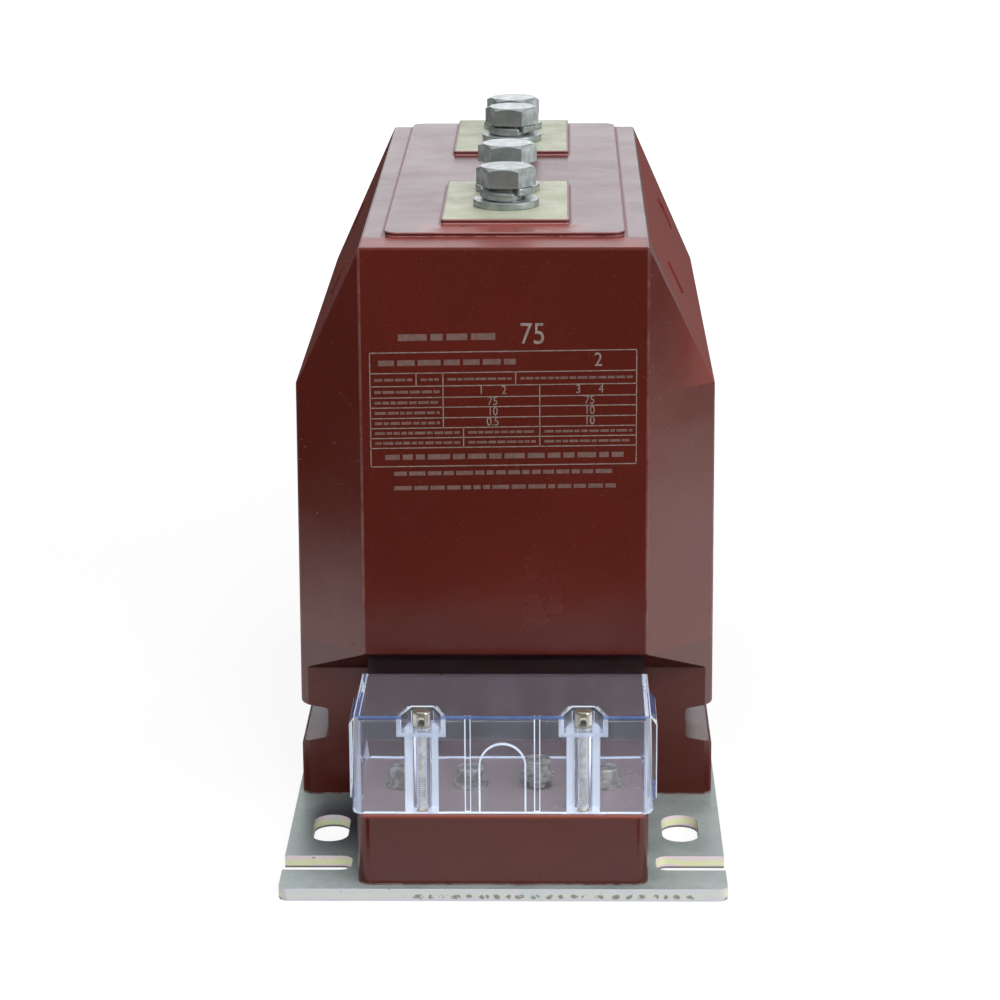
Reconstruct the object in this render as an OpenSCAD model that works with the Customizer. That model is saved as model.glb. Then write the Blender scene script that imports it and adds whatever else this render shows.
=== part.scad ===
// Cast resin current transformer for indoor medium voltage switchgear.
// X runs across the transformer, Y from the secondary end to the rear, Z up.
// The origin is the centre of the base plate's underside. Lengths are millimetres.

/* [Casting] */
// Width across the flanks at the ridge
ridge_w = 149.6; // [140:1:160]
// Extra width at the foot of the flanks, on both sides together
foot_spread = 0.8; // [0:0.2:4]
// Width of the top face and of the front face
face_w = 101; // [90:1:110]
// Length from the front face to the rear face
body_length = 270; // [262:1:300]
// Height of the top face above the underside of the base plate
body_h = 213; // [208:0.5:230]
// Height of the ridge where the slanted flanks begin
ridge_h = 160; // [150:0.5:170]
// How far back the corner chamfers reach along the flanks
corner_l = 21.5; // [15:0.5:28]
// Height of the lower edge of the front and rear faces
chin_h = 65; // [60:0.5:70]
// Drop of the sloping underside for each millimetre of depth
chin_slope = 0.565; // [0.4:0.005:0.7]
// Depth of the lower front wall behind the front face
front_setback = 19.5; // [15:0.5:24]
// Depth of the lower rear wall behind the rear face
rear_setback = 24; // [18:0.5:28]
// Radius of the moulded edges
edge_r = 1.4; // [0.6:0.1:2.5]

/* [Flank grooves] */
// Height of the groove's lower lip
groove_z = 25; // [18:0.5:28]
// Opening of the groove at the flank
groove_open = 14.8; // [12:0.2:17]
// Height of the groove's flat bottom
groove_floor = 11; // [8:0.5:12]
// Depth of the groove
groove_d = 9.8; // [6:0.2:11]

/* [Top pad and terminal bosses] */
// Width of the raised pad
pad_w = 84.8; // [76:0.2:88]
// Distance of the pad from the front face
pad_front = 19.5; // [12:0.5:24]
// Distance of the pad from the rear face
pad_rear = 2.8; // [2.2:0.1:4]
// Height of the pad
pad_h = 1.75; // [1:0.05:3]
// Corner radius of the pad
pad_r = 5; // [2:0.5:8]
// Height of the terminal bosses above the pad
boss_h = 1.75; // [1:0.05:3]
// Width of the resin lip around each terminal
lip_w = 0.6; // [0.4:0.1:1.5]
// Distance from the front face to the centre of the first primary terminal
terminal_y = 74.8; // [72:0.2:80]
// Distance between the two primary terminals
terminal_pitch = 149.6; // [146:0.2:152]

/* [Terminal block] */
// Width of the secondary terminal block
block_w = 99.6; // [94:0.2:104]
// Length of the block in front of the front face
block_l = 69; // [66:0.5:74]
// Height of the block's top above the underside of the base plate
block_h = 30.1; // [28:0.1:34]
// Corner radius of the block in plan
block_r = 4.5; // [2:0.5:8]
// Depth of the riser behind the front face
riser_setback = 8; // [4:0.5:12]

/* [Base plate] */
// Thickness of the base plate
plate_t = 4.5; // [3:0.5:5]
// Width of the base plate
plate_w = 154; // [152:1:166]
// Length of the plate in front of the front face
plate_front = 72.5; // [70:0.5:80]
// Least length of the plate behind the rear face
plate_rear = 12.5; // [11:0.5:20]
// Corner radius of the plate
plate_r = 3.5; // [1:0.5:6]
// Width of the mounting slots and of the open side slots
slot_w = 13; // [11:0.5:14]
// Length of each mounting slot, end to end
slot_l = 26; // [20:0.5:27]
// Distance between the two rows of slots, left to right
slot_pitch_x = 125; // [122:1:128]
// Distance between the front and rear slots
slot_pitch_y = 280; // [277:1:282]
// Distance from the plate's front edge to the front slots' centres
slot_front = 57.5; // [54:0.5:60]
// Least distance from the rear slots' centres to the plate's rear edge
slot_rear = 17.5; // [16:0.5:24]
// Distance from the plate's front edge to the open side slots' centre line
side_slot_front = 24; // [20:0.5:26]
// Length of the open side slots, in from the plate's edge
side_slot_l = 24; // [18:0.5:26]
// Radius of the inner corners of the open side slots
side_slot_r = 4; // [1:0.5:6]

/* [Base plate fixings] */
// Thread of the countersunk screws that hold the plate to the casting
fixing_d = 8; // [6:1:10]
// Diameter of the countersunk heads
fixing_head_d = 15; // [13:0.5:17]
// Length of the screws
fixing_l = 20; // [16:1:24]
// Diameter of the threaded inserts
fixing_insert_d = 14; // [12:0.5:16]
// Length of the threaded inserts
fixing_insert_l = 22; // [21:1:28]
// Distance between the fixings, left to right
fixing_pitch_x = 104; // [96:1:108]
// Distance from the front face to the first fixings
fixing_y = 42; // [36:1:50]
// Distance between the fixings, front to back
fixing_pitch_y = 180; // [160:1:186]

/* [Primary terminals and bolts] */
// Width of each terminal
terminal_w = 44.6; // [40:0.2:46]
// Length of each terminal
terminal_l = 78.8; // [74:0.2:80]
// Depth of each terminal in the casting
terminal_t = 18; // [17:0.5:20]
// Thread of the terminal bolts
bolt_d = 12; // [10:1:14]
// Length of the terminal bolts under the head
bolt_l = 20; // [19:0.5:21]
// Distance between the two bolts of a terminal
bolt_pitch = 32; // [27:0.5:34]
// How far the pair of bolts sits behind the terminal's centre
bolt_shift = 4.5; // [0:0.5:6]
// Width of the bolt heads across flats
bolt_af = 19; // [17:0.5:21]
// Height of the bolt heads
bolt_head_h = 7; // [6:0.5:9]
// How far each bolt's head is turned, front to rear
bolt_turns = [-5, -1, -7.5, -6.5]; // [-30:0.5:30]
// How far each bolt stands off its washers, not yet tightened
bolt_lifts = [0, 3.2, 0, 0]; // [0:0.1:4]
// Outer diameter of the flat washers
bolt_washer_d = 24; // [22:0.5:28]
// Thickness of the flat washers
bolt_washer_t = 2.5; // [2:0.1:3]
// Outer diameter of the spring washers
bolt_spring_d = 19.2; // [18:0.2:21.5]
// Thickness of the spring washers' section
bolt_spring_t = 3.1; // [2:0.1:3.4]
// Height of each spring washer, as far as its bolt has pressed it
bolt_spring_hs = [5.1, 5.1, 4.3, 3.3]; // [3.2:0.1:6]

/* [Secondary terminals] */
// Distance between neighbouring secondary terminals
sec_pitch = 23.3; // [22:0.1:24.5]
// Distance of the secondary terminals in front of the front face
sec_y = 38.5; // [36:0.5:48]
// Thread of the secondary screws
sec_d = 6; // [5:0.5:7]
// Length of the secondary screws under the head
sec_l = 14; // [12:0.5:15]
// Diameter of the screw heads
sec_head_d = 9.6; // [9:0.1:11]
// Height of the screw heads
sec_head_h = 3.9; // [3:0.1:5]
// Outer diameter of the flat washers
sec_washer_d = 12; // [11:0.2:14]
// Thickness of the flat washers
sec_washer_t = 1.5; // [1:0.1:2]
// Outer diameter of the spring washers
sec_spring_d = 10.2; // [9:0.1:11.5]
// Thickness of the spring washers
sec_spring_t = 1.5; // [1:0.1:2]
// How far the third screw stands out, not yet tightened
sec_lift = 3; // [0:0.1:3.5]
// Diameter of the threaded inserts
sec_insert_d = 10; // [9:0.5:11]
// Length of the threaded inserts
sec_insert_l = 14; // [12:0.5:15]

/* [Terminal cover] */
// Width of the cover at its foot
cover_w = 102.8; // [101:0.2:106]
// Draft of each side wall over the cover's height
cover_draft = 1.1; // [0.4:0.1:2]
// Length of the cover at its foot
cover_l = 59; // [50:0.5:61]
// How far the front wall stands behind the block's front
cover_front = 0.6; // [0.2:0.1:1.5]
// Height of the cover above the block at the front
cover_h = 35.2; // [33:0.2:38]
// Fall of the roof towards the rear
cover_fall = 3; // [0:0.2:5]
// Lean of the rear wall
cover_lean = 3.6; // [1:0.2:6]
// Wall of the cover
cover_wall = 2; // [1.6:0.1:2.6]
// Corner radius of the cover in plan
cover_r = 4; // [3:0.5:6]
// Length of the grip panels on the sides
grip_l = 28; // [20:0.5:32]
// Height of the grip panels
grip_h = 31; // [26:0.5:32]
// How far the grip panels stand proud
grip_t = 2; // [1:0.1:2.5]
// Width of the cable knock-out
arch_w = 16.2; // [14:0.2:17]
// Height of the cable knock-out
arch_h = 25.4; // [20:0.2:27]
// Width of the thin line around the knock-out
arch_line = 0.6; // [0.4:0.1:1]
// Distance between the two inner ribs
rib_pitch = 23.6; // [20:0.2:26]
// Width of the inner ribs
rib_w = 2.2; // [1.6:0.1:3]
// Depth of the inner ribs
rib_d = 1.4; // [0.8:0.1:2]

/* [Seal screws] */
// Distance between the two seal screws
seal_pitch = 55; // [50:0.5:58]
// Distance of the seal screws behind the cover's front
seal_y = 6.4; // [6:0.1:7]
// Thread of the seal screws
seal_d = 4; // [3:0.5:4.5]
// Diameter of the screw heads
seal_head_d = 6.2; // [5.6:0.1:6.6]
// Height of the screw heads
seal_head_h = 6; // [5:0.1:7]
// Diameter of the seal wire hole through the heads
seal_wire_d = 2.2; // [1.5:0.1:2.6]
// Depth of the pocket floor below the front of the roof
pocket_d = 5.8; // [5:0.1:7]
// Thickness of the pocket floor
pocket_floor = 1.5; // [1:0.1:2.5]
// Width of the pocket at the front
pocket_w = 13.4; // [12:0.2:15]
// Width of the pocket at its rear
pocket_rear_w = 7.2; // [6.8:0.1:9]
// Length of the pocket
pocket_l = 13; // [11:0.5:14]
// Wall of the pocket
pocket_wall = 1.5; // [1:0.1:2]
// Width of the post under each pocket
post_w = 11.5; // [9:0.1:13]
// Length of the post behind the cover's front
post_l = 11; // [10:0.5:12.5]
// Bore of the post
post_bore = 6.2; // [5.6:0.1:7]
// Diameter of the threaded inserts
seal_insert_d = 7; // [6:0.5:8]
// Length of the threaded inserts
seal_insert_l = 12; // [9:0.5:14]
// How far the screws reach into the inserts
seal_grip = 8; // [6:0.5:8.5]

/* [Cores and windings] */
// Height of the cores' common axis
core_z = 104.5; // [102:0.5:110]
// Outer diameter of the cores
core_d = 100; // [96:1:102]
// Bore of the cores
core_bore = 64; // [62:1:68]
// Length of the metering core
metering_l = 28; // [24:1:30]
// Length of the protection core
protection_l = 36; // [32:1:38]
// Depth of wire on the cores' faces and outside
wire_out = 5; // [3:0.5:7]
// Depth of wire in the cores' bore
wire_in = 7; // [5:0.5:8]
// Distance between the two windings
core_gap = 4; // [2:0.5:8]
// Thickness of the primary winding
primary_t = 22; // [18:0.5:23]
// Width of the primary winding
primary_w = 30; // [24:0.5:32]
// Space between the primary winding and the secondary windings
primary_gap = 4; // [3:0.5:6]
// Width of the straps from the primary winding to the terminals
strap_w = 24; // [18:0.5:28]
// Thickness of those straps
strap_t = 6; // [4:0.5:8]
// Diameter of the secondary leads
lead_d = 3; // [2:0.1:3.5]
// Bend radius of the secondary leads
lead_bend = 4; // [3.6:0.1:4.4]
// Height of the secondary leads above the base plate
lead_rise = 6; // [5.8:0.1:6.4]

/* [Hidden] */
$fn = 48;

// Running fit between a screw and its hole
fit = 0.1;
// How far a cutting shape runs past the face that it cuts
past = 1;
// Steps in a rounded corner
arc_steps = 5;
// The spring washers' coil: where it starts, how far it turns, and its steps
coil_start = 250;
coil_sweep = 352;
coil_steps = 30;
// The slit of the small spring washers
split_angle = 200;
split_w = 0.8;
// Shares of a head's size: chamfer circle, driver slot, rim, wire hole and hexagon socket
head_chamfer = 0.95;
driver_slot_w = 0.16;
driver_slot_d = 0.4;
head_rim = 0.18;
wire_height = 0.4;
socket_share = 0.6;
// Share of the cover's wall that the knock-out line cuts
arch_cut = 0.6;
// How deep the grip panels sink into the leaning side walls
grip_sink = 0.4;
// Smallest radius inside the cover
least_edge_r = 0.4;

plate_l = max(plate_front + body_length + plate_rear, slot_front + slot_pitch_y + slot_rear);
front_y = plate_front - plate_l / 2;
boss_z = body_h + pad_h + boss_h;
foot_w = ridge_w + foot_spread;
block_y = front_y - block_l;
cover_y = block_y + cover_front;
cover_z = block_h;
cover_roof = cover_z + cover_h;
pocket_z = cover_roof - pocket_d;
core_y = front_y + terminal_y + terminal_pitch / 2;
metering_w = metering_l + 2 * wire_out;
protection_w = protection_l + 2 * wire_out;
winding_l = metering_w + core_gap + protection_w;
metering_y = core_y - winding_l / 2 + metering_w / 2;
protection_y = core_y + winding_l / 2 - protection_w / 2;
winding_r = core_d / 2 + wire_out;
terminal_ys = [front_y + terminal_y, front_y + terminal_y + terminal_pitch];
bolt_ids = [0 : 3];
bolt_dys = [bolt_shift - bolt_pitch / 2, bolt_shift + bolt_pitch / 2];
bolt_washer_bore = bolt_d + 1;
bolt_spring_bore = bolt_d + 0.6;
sec_washer_bore = sec_d + 0.4;
sec_spring_bore = sec_d + 0.2;
seal_hole_d = seal_d + 0.5;
metering_xs = [-1.5 * sec_pitch, -0.5 * sec_pitch];
protection_xs = [0.5 * sec_pitch, 1.5 * sec_pitch];
sec_xs = concat(metering_xs, protection_xs);
sec_lifts = [0, 0, sec_lift, 0];
sec_yy = front_y - sec_y;
seal_xs = [-seal_pitch / 2, seal_pitch / 2];
seal_yy = cover_y + seal_y;

resin = "#7b2b21";
zinc = "#aab2b4";
steel = "#bcc4c2";
brass = "#c9a34e";
copper = "#b8683c";
nickel = "#b9b29f";
tin = "#cfd0b8";
core_grey = "#6d7276";
clear = "#c8d6ee";

// A unit vector along v
function unit(v) = v / norm(v);

// A 2D vector turned by an angle
function turned(v, a) = [v.x * cos(a) - v.y * sin(a), v.x * sin(a) + v.y * cos(a)];

// The points of one corner, rounded to radius r
function corner(before, at, after, r) =
    r <= 0 ? [at] :
    let (
        u = unit(before - at),
        w = unit(after - at),
        half = acos(u * w) / 2,
        centre = at + unit(u + w) * r / sin(half),
        first = at + u * r / tan(half) - centre,
        last = at + w * r / tan(half) - centre,
        sweep = atan2(cross(first, last), first * last)
    )
    [for (i = [0 : arc_steps]) centre + turned(first, sweep * i / arc_steps)];

// An outline with each corner rounded to its own radius
function rounded(points, radii) =
    let (n = len(points))
    [for (i = [0 : n - 1])
        each corner(points[(i + n - 1) % n], points[i], points[(i + 1) % n], radii[i])];

// A rectangle's corners from its limits
function rect(x0, x1, y0, y1) = [[x0, y0], [x1, y0], [x1, y1], [x0, y1]];

// A flat ring
module ring(outer, inner, height) {
    difference() {
        cylinder(d = outer, h = height);
        translate([0, 0, -past]) cylinder(d = inner, h = height + 2 * past);
    }
}

// A Y-Z outline extruded across X
module across(points, width) {
    translate([-width / 2, 0, 0]) rotate([90, 0, 90]) linear_extrude(width) polygon(points);
}

// An X-Z outline extruded from y0 to y1
module along(points, y0, y1) {
    translate([0, y1, 0]) rotate([90, 0, 0]) linear_extrude(y1 - y0) polygon(points);
}

// The casting's outline seen from the front, with the groove in each flank
module casting_front() {
    foot = foot_w / 2;
    groove_mid = groove_z + groove_open / 2;
    side = [
        [foot, plate_t],
        [foot, groove_z],
        [foot - groove_d, groove_mid - groove_floor / 2],
        [foot - groove_d, groove_mid + groove_floor / 2],
        [foot, groove_z + groove_open],
        [foot, chin_h],
        [ridge_w / 2, ridge_h],
        [face_w / 2, body_h]
    ];
    radii = [0, edge_r, edge_r, edge_r, edge_r, 0, edge_r, edge_r];
    n = len(side);
    points = concat(side, [for (i = [n - 1 : -1 : 0]) [-side[i].x, side[i].y]]);
    all_radii = concat(radii, [for (i = [n - 1 : -1 : 0]) radii[i]]);
    along(rounded(points, all_radii), 0, body_length);
}

// The casting's outline seen from the side, with the sloping underside at both ends
module casting_side() {
    front_wall_h = chin_h - front_setback * chin_slope;
    rear_wall_h = chin_h - rear_setback * chin_slope;
    points = [
        [front_setback, plate_t],
        [body_length - rear_setback, plate_t],
        [body_length - rear_setback, rear_wall_h],
        [body_length, chin_h],
        [body_length, body_h],
        [0, body_h],
        [0, chin_h],
        [front_setback, front_wall_h]
    ];
    radii = [0, 0, edge_r, edge_r, edge_r, edge_r, edge_r, edge_r];
    across(rounded(points, radii), foot_w + 2 * past);
}

// The casting's outline seen from above, with its chamfered corners
module casting_plan() {
    half = foot_w / 2 + past;
    reach = corner_l * (half - face_w / 2) / (ridge_w / 2 - face_w / 2);
    points = [
        [-face_w / 2, 0], [face_w / 2, 0], [half, reach], [half, body_length - reach],
        [face_w / 2, body_length], [-face_w / 2, body_length],
        [-half, body_length - reach], [-half, reach]
    ];
    radii = [edge_r, edge_r, 0, 0, edge_r, edge_r, 0, 0];
    linear_extrude(body_h + past) polygon(rounded(points, radii));
}

// The raised pad and the two terminal bosses on the top face
module casting_pads() {
    pad = rounded(
        rect(-pad_w / 2, pad_w / 2, pad_front, body_length - pad_rear),
        [for (i = [0 : 3]) pad_r]
    );
    translate([0, 0, body_h - past]) linear_extrude(pad_h + past) polygon(pad);
    for (y = [terminal_y, terminal_y + terminal_pitch]) {
        translate([0, y, body_h]) linear_extrude(pad_h + boss_h) terminal_outline(lip_w);
    }
}

// A terminal's outline, grown by a margin
module terminal_outline(margin) {
    w = terminal_w / 2 + margin;
    l = terminal_l / 2 + margin;
    polygon(rounded(rect(-w, w, -l, l), [for (i = [0 : 3]) edge_r]));
}

// The secondary terminal block and the riser behind it
module casting_block() {
    side = [
        [-block_l, plate_t], [front_setback + past, plate_t], [front_setback + past, chin_h],
        [riser_setback, chin_h], [riser_setback, block_h], [-block_l, block_h]
    ];
    plan = rounded(
        rect(-block_w / 2, block_w / 2, -block_l, front_setback + past),
        [block_r, block_r, 0, 0]
    );
    intersection() {
        across(rounded(side, [0, 0, 0, 0, edge_r, edge_r]), block_w + 2 * past);
        linear_extrude(chin_h + past) polygon(plan);
    }
}

// The epoxy casting, with a close fitting space for everything cast into it
module resin_body() {
    color(resin)
    difference() {
        translate([0, front_y, 0]) {
            intersection() {
                casting_front();
                casting_side();
                casting_plan();
            }
            casting_pads();
            casting_block();
        }
        for (y = terminal_ys) terminal_body(y);
        primary_loop();
        for (y = terminal_ys) primary_strap(y);
        winding_body(metering_y, metering_w);
        winding_body(protection_y, protection_w);
        for (x = metering_xs) secondary_lead(x, metering_y);
        for (x = protection_xs) secondary_lead(x, protection_y);
        at_secondaries() insert_body(sec_insert_d, sec_insert_l);
        at_seals(block_h) insert_body(seal_insert_d, seal_insert_l);
        at_fixings() translate([0, 0, fixing_insert_l + plate_t]) {
            insert_body(fixing_insert_d, fixing_insert_l);
        }
    }
}

// Places for the fixings that hold the base plate
module at_fixings() {
    for (x = [-fixing_pitch_x / 2, fixing_pitch_x / 2]) {
        for (y = [0, fixing_pitch_y]) translate([x, front_y + fixing_y + y, 0]) children();
    }
}

// Places for the two seal screws, at a height
module at_seals(z) {
    for (x = seal_xs) translate([x, seal_yy, z]) children();
}

// Places for the four secondary terminals, on the block's top
module at_secondaries() {
    for (x = sec_xs) translate([x, sec_yy, block_h]) children();
}

// The same places for the screws and washers, the third one lifted by its loose screw
module at_secondary_screws() {
    for (i = [0 : len(sec_xs) - 1]) {
        translate([sec_xs[i], sec_yy, block_h + sec_lifts[i]]) children();
    }
}

// An insert's outer form, hanging down from its mouth
module insert_body(d, l) {
    translate([0, 0, -l]) cylinder(d = d, h = l);
}

// A blind threaded insert
module threaded_insert(d, l, thread, depth) {
    difference() {
        insert_body(d, l);
        translate([0, 0, -depth]) cylinder(d = thread, h = depth + past);
    }
}

// The zinc plated base plate, with its mounting slots and open side slots
module base_plate() {
    outline = rounded(
        rect(-plate_w / 2, plate_w / 2, -plate_l / 2, plate_l / 2),
        [for (i = [0 : 3]) plate_r]
    );
    front_edge = -plate_l / 2;
    color(zinc)
    difference() {
        linear_extrude(plate_t) polygon(outline);
        for (side = [-1, 1]) {
            for (y = [slot_front, slot_front + slot_pitch_y]) {
                translate([side * slot_pitch_x / 2, front_edge + y, -past]) mounting_slot();
            }
            translate([side * plate_w / 2, front_edge + side_slot_front, -past]) open_slot(side);
        }
        at_fixings() countersink();
    }
}

// A slot with round ends, long from front to back
module mounting_slot() {
    run = slot_l - slot_w;
    height = plate_t + 2 * past;
    translate([-slot_w / 2, -run / 2, 0]) cube([slot_w, run, height]);
    for (y = [-run / 2, run / 2]) translate([0, y, 0]) cylinder(d = slot_w, h = height);
}

// A slot that is open at the plate's side
module open_slot(side) {
    points = rounded(
        rect(-side_slot_l, past, -slot_w / 2, slot_w / 2),
        [side_slot_r, 0, 0, side_slot_r]
    );
    mirror([side < 0 ? 1 : 0, 0, 0]) linear_extrude(plate_t + 2 * past) polygon(points);
}

// The countersunk hole for one fixing screw
module countersink() {
    translate([0, 0, -past]) cylinder(d = fixing_d + 2 * fit, h = plate_t + 2 * past);
    sink = (fixing_head_d - fixing_d) / 2;
    cylinder(d1 = fixing_head_d + 2 * fit, d2 = fixing_d + 2 * fit, h = sink);
    translate([0, 0, -past]) cylinder(d = fixing_head_d + 2 * fit, h = past);
}

// The countersunk screws under the plate, with a hexagon socket
module base_plate_screws() {
    sink = (fixing_head_d - fixing_d) / 2;
    socket = socket_share * fixing_d;
    color(zinc)
    at_fixings() difference() {
        union() {
            cylinder(d1 = fixing_head_d, d2 = fixing_d, h = sink);
            cylinder(d = fixing_d, h = fixing_l);
        }
        translate([0, 0, -past]) cylinder(d = socket, h = sink + past, $fn = 6);
    }
}

// The inserts that the plate's screws are driven into
module base_plate_inserts() {
    color(brass)
    at_fixings() translate([0, 0, plate_t]) mirror([0, 0, 1]) {
        threaded_insert(fixing_insert_d, fixing_insert_l, fixing_d, fixing_l - plate_t + past);
    }
}

// A primary terminal's outer form, centred at y
module terminal_body(y) {
    translate([0, y, boss_z - terminal_t]) linear_extrude(terminal_t) terminal_outline(0);
}

// A plated copper terminal with two blind threaded holes
module primary_terminal(y) {
    depth = bolt_l - bolt_washer_t - min(bolt_spring_hs) + past;
    color(tin)
    difference() {
        terminal_body(y);
        for (i = [0, 1]) {
            translate([0, y + bolt_dys[i], boss_z - depth]) cylinder(d = bolt_d, h = depth + past);
        }
    }
}

// The place of one bolt, on its terminal's face
module at_bolt(i) {
    y = terminal_ys[floor(i / 2)] + bolt_dys[i % 2];
    translate([0, y, boss_z]) children();
}

// The primary winding, a closed bundle through both cores
module primary_loop() {
    inner_y = winding_l / 2 + primary_gap;
    outer_y = inner_y + primary_t;
    low = core_z - primary_t / 2;
    high = core_z + winding_r + primary_gap + primary_t;
    outer_r = primary_t;
    inner_r = primary_gap;
    translate([0, core_y, 0])
    difference() {
        across(
            rounded(rect(-outer_y, outer_y, low, high), [for (i = [0 : 3]) outer_r]),
            primary_w
        );
        across(
            rounded(
                rect(-inner_y, inner_y, low + primary_t, high - primary_t),
                [for (i = [0 : 3]) inner_r]
            ),
            primary_w + 2 * past
        );
    }
}

// The copper strap between the primary winding and a terminal
module primary_strap(y) {
    low = core_z + winding_r + primary_gap + primary_t;
    high = boss_z - terminal_t;
    inward = y < core_y ? 1 : -1;
    at_y = y + inward * terminal_l / 4;
    translate([-strap_w / 2, at_y - strap_t / 2, low]) cube([strap_w, strap_t, high - low]);
}

// The outer form of a wound core, its axis along Y
module winding_body(y, w) {
    bore = core_bore - 2 * wire_in;
    translate([0, y + w / 2, core_z]) rotate([90, 0, 0]) ring(2 * winding_r, bore, w);
}

// A ring core
module ring_core(y, l) {
    translate([0, y + l / 2, core_z]) rotate([90, 0, 0]) ring(core_d, core_bore, l);
}

// The wire around a ring core
module ring_winding(y, w, l) {
    difference() {
        winding_body(y, w);
        ring_core(y, l);
    }
}

// One lead from a secondary insert, under the cores and up to its winding
module secondary_lead(x, y) {
    low = plate_t + lead_rise;
    top = block_h - sec_insert_l;
    reach = core_z - sqrt(winding_r * winding_r - x * x);
    run = y - sec_yy - 2 * lead_bend;
    difference() {
        translate([x, sec_yy, low]) {
            translate([0, 0, lead_bend]) cylinder(d = lead_d, h = top - low - lead_bend, $fn = 24);
            lead_elbow();
            translate([0, lead_bend, 0]) rotate([-90, 0, 0]) cylinder(d = lead_d, h = run, $fn = 24);
            translate([0, run + 2 * lead_bend, 0]) mirror([0, 1, 0]) lead_elbow();
            translate([0, run + 2 * lead_bend, lead_bend]) {
                cylinder(d = lead_d, h = reach + lead_d - low - lead_bend, $fn = 24);
            }
        }
        translate([0, y + metering_w, core_z]) rotate([90, 0, 0]) {
            cylinder(r = winding_r, h = 2 * metering_w);
        }
    }
}

// A quarter bend of the lead, from vertical to running back
module lead_elbow() {
    translate([0, lead_bend, lead_bend]) rotate([90, 0, 90]) rotate([0, 0, 180]) {
        rotate_extrude(angle = 90) translate([lead_bend, 0]) circle(d = lead_d, $fn = 24);
    }
}

// A hexagon head with a chamfered top, on z = 0
module hex_head(af, height) {
    across_corners = af / cos(30);
    chamfer_r = af / 2 * head_chamfer;
    rise = (across_corners / 2 - chamfer_r) * tan(30);
    intersection() {
        cylinder(d = across_corners, h = height, $fn = 6);
        union() {
            cylinder(d = across_corners + past, h = height - rise);
            translate([0, 0, height - rise]) {
                cylinder(r1 = across_corners / 2, r2 = chamfer_r, h = rise);
            }
        }
    }
}

// The bolts of both primary terminals
module primary_bolts() {
    color(steel)
    for (i = bolt_ids) at_bolt(i) {
        translate([0, 0, bolt_washer_t + bolt_spring_hs[i] + bolt_lifts[i]]) {
            rotate([0, 0, bolt_turns[i]]) hex_head(bolt_af, bolt_head_h);
            translate([0, 0, -bolt_l]) cylinder(d = bolt_d - fit, h = bolt_l + past);
        }
    }
}

// The flat washers under them
module primary_flat_washers() {
    color(steel)
    for (i = bolt_ids) at_bolt(i) ring(bolt_washer_d, bolt_washer_bore, bolt_washer_t);
}

// The spring washers between bolt heads and flat washers
module primary_spring_washers() {
    color(steel)
    for (i = bolt_ids) at_bolt(i) translate([0, 0, bolt_washer_t]) {
        coil_washer(bolt_spring_d, bolt_spring_bore, bolt_spring_t, bolt_spring_hs[i]);
    }
}

// A free spring washer: one turn of square wire that rises clockwise from its lower end
module coil_washer(outer, inner, thick, height) {
    start = coil_start;
    steps = coil_steps;
    sweep = coil_sweep;
    rise = height - thick;
    section = [[inner / 2, 0], [outer / 2, 0], [outer / 2, thick], [inner / 2, thick]];
    points = [for (i = [0 : steps]) for (s = section)
        [
            s.x * cos(start + sweep * i / steps),
            s.x * sin(start + sweep * i / steps),
            s.y + rise * i / steps
        ]
    ];
    sides = [for (i = [0 : steps - 1]) for (k = [0 : 3])
        [4 * i + 4 + k, 4 * i + 4 + (k + 1) % 4, 4 * i + (k + 1) % 4, 4 * i + k]
    ];
    last = 4 * steps;
    ends = [[for (k = [0 : 3]) k], [for (k = [3 : -1 : 0]) last + k]];
    mirror([1, 0, 0]) polyhedron(points, concat(sides, ends));
}

// A slotted screw head with a rounded rim, on z = 0
module slotted_head(d, height) {
    cut_w = driver_slot_w * d;
    cut_d = driver_slot_d * height;
    rim = head_rim * height;
    profile = rounded(
        [[0, 0], [d / 2, 0], [d / 2, height], [0, height]],
        [0, 0, rim, 0]
    );
    difference() {
        rotate_extrude() polygon(profile);
        translate([-d, -cut_w / 2, height - cut_d]) cube([2 * d, cut_w, cut_d + past]);
    }
}

// The inserts of the secondary terminals
module secondary_inserts() {
    color(brass)
    at_secondaries() threaded_insert(sec_insert_d, sec_insert_l, sec_d, sec_insert_l - sec_washer_t);
}

// The slotted screws of the secondary terminals
module secondary_screws() {
    color(steel)
    at_secondary_screws() translate([0, 0, sec_washer_t + sec_spring_t]) {
        slotted_head(sec_head_d, sec_head_h);
        translate([0, 0, -sec_l]) cylinder(d = sec_d - fit, h = sec_l + sec_head_h / 4);
    }
}

// The flat washers of the secondary terminals
module secondary_flat_washers() {
    color(steel)
    at_secondary_screws() ring(sec_washer_d, sec_washer_bore, sec_washer_t);
}

// The spring washers of the secondary terminals, split and pressed flat
module secondary_spring_washers() {
    height = sec_spring_t + 2 * past;
    color(steel)
    at_secondary_screws() translate([0, 0, sec_washer_t]) difference() {
        ring(sec_spring_d, sec_spring_bore, sec_spring_t);
        rotate([0, 0, split_angle]) translate([0, -split_w / 2, -past]) {
            cube([sec_spring_d, split_w, height]);
        }
    }
}

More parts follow.
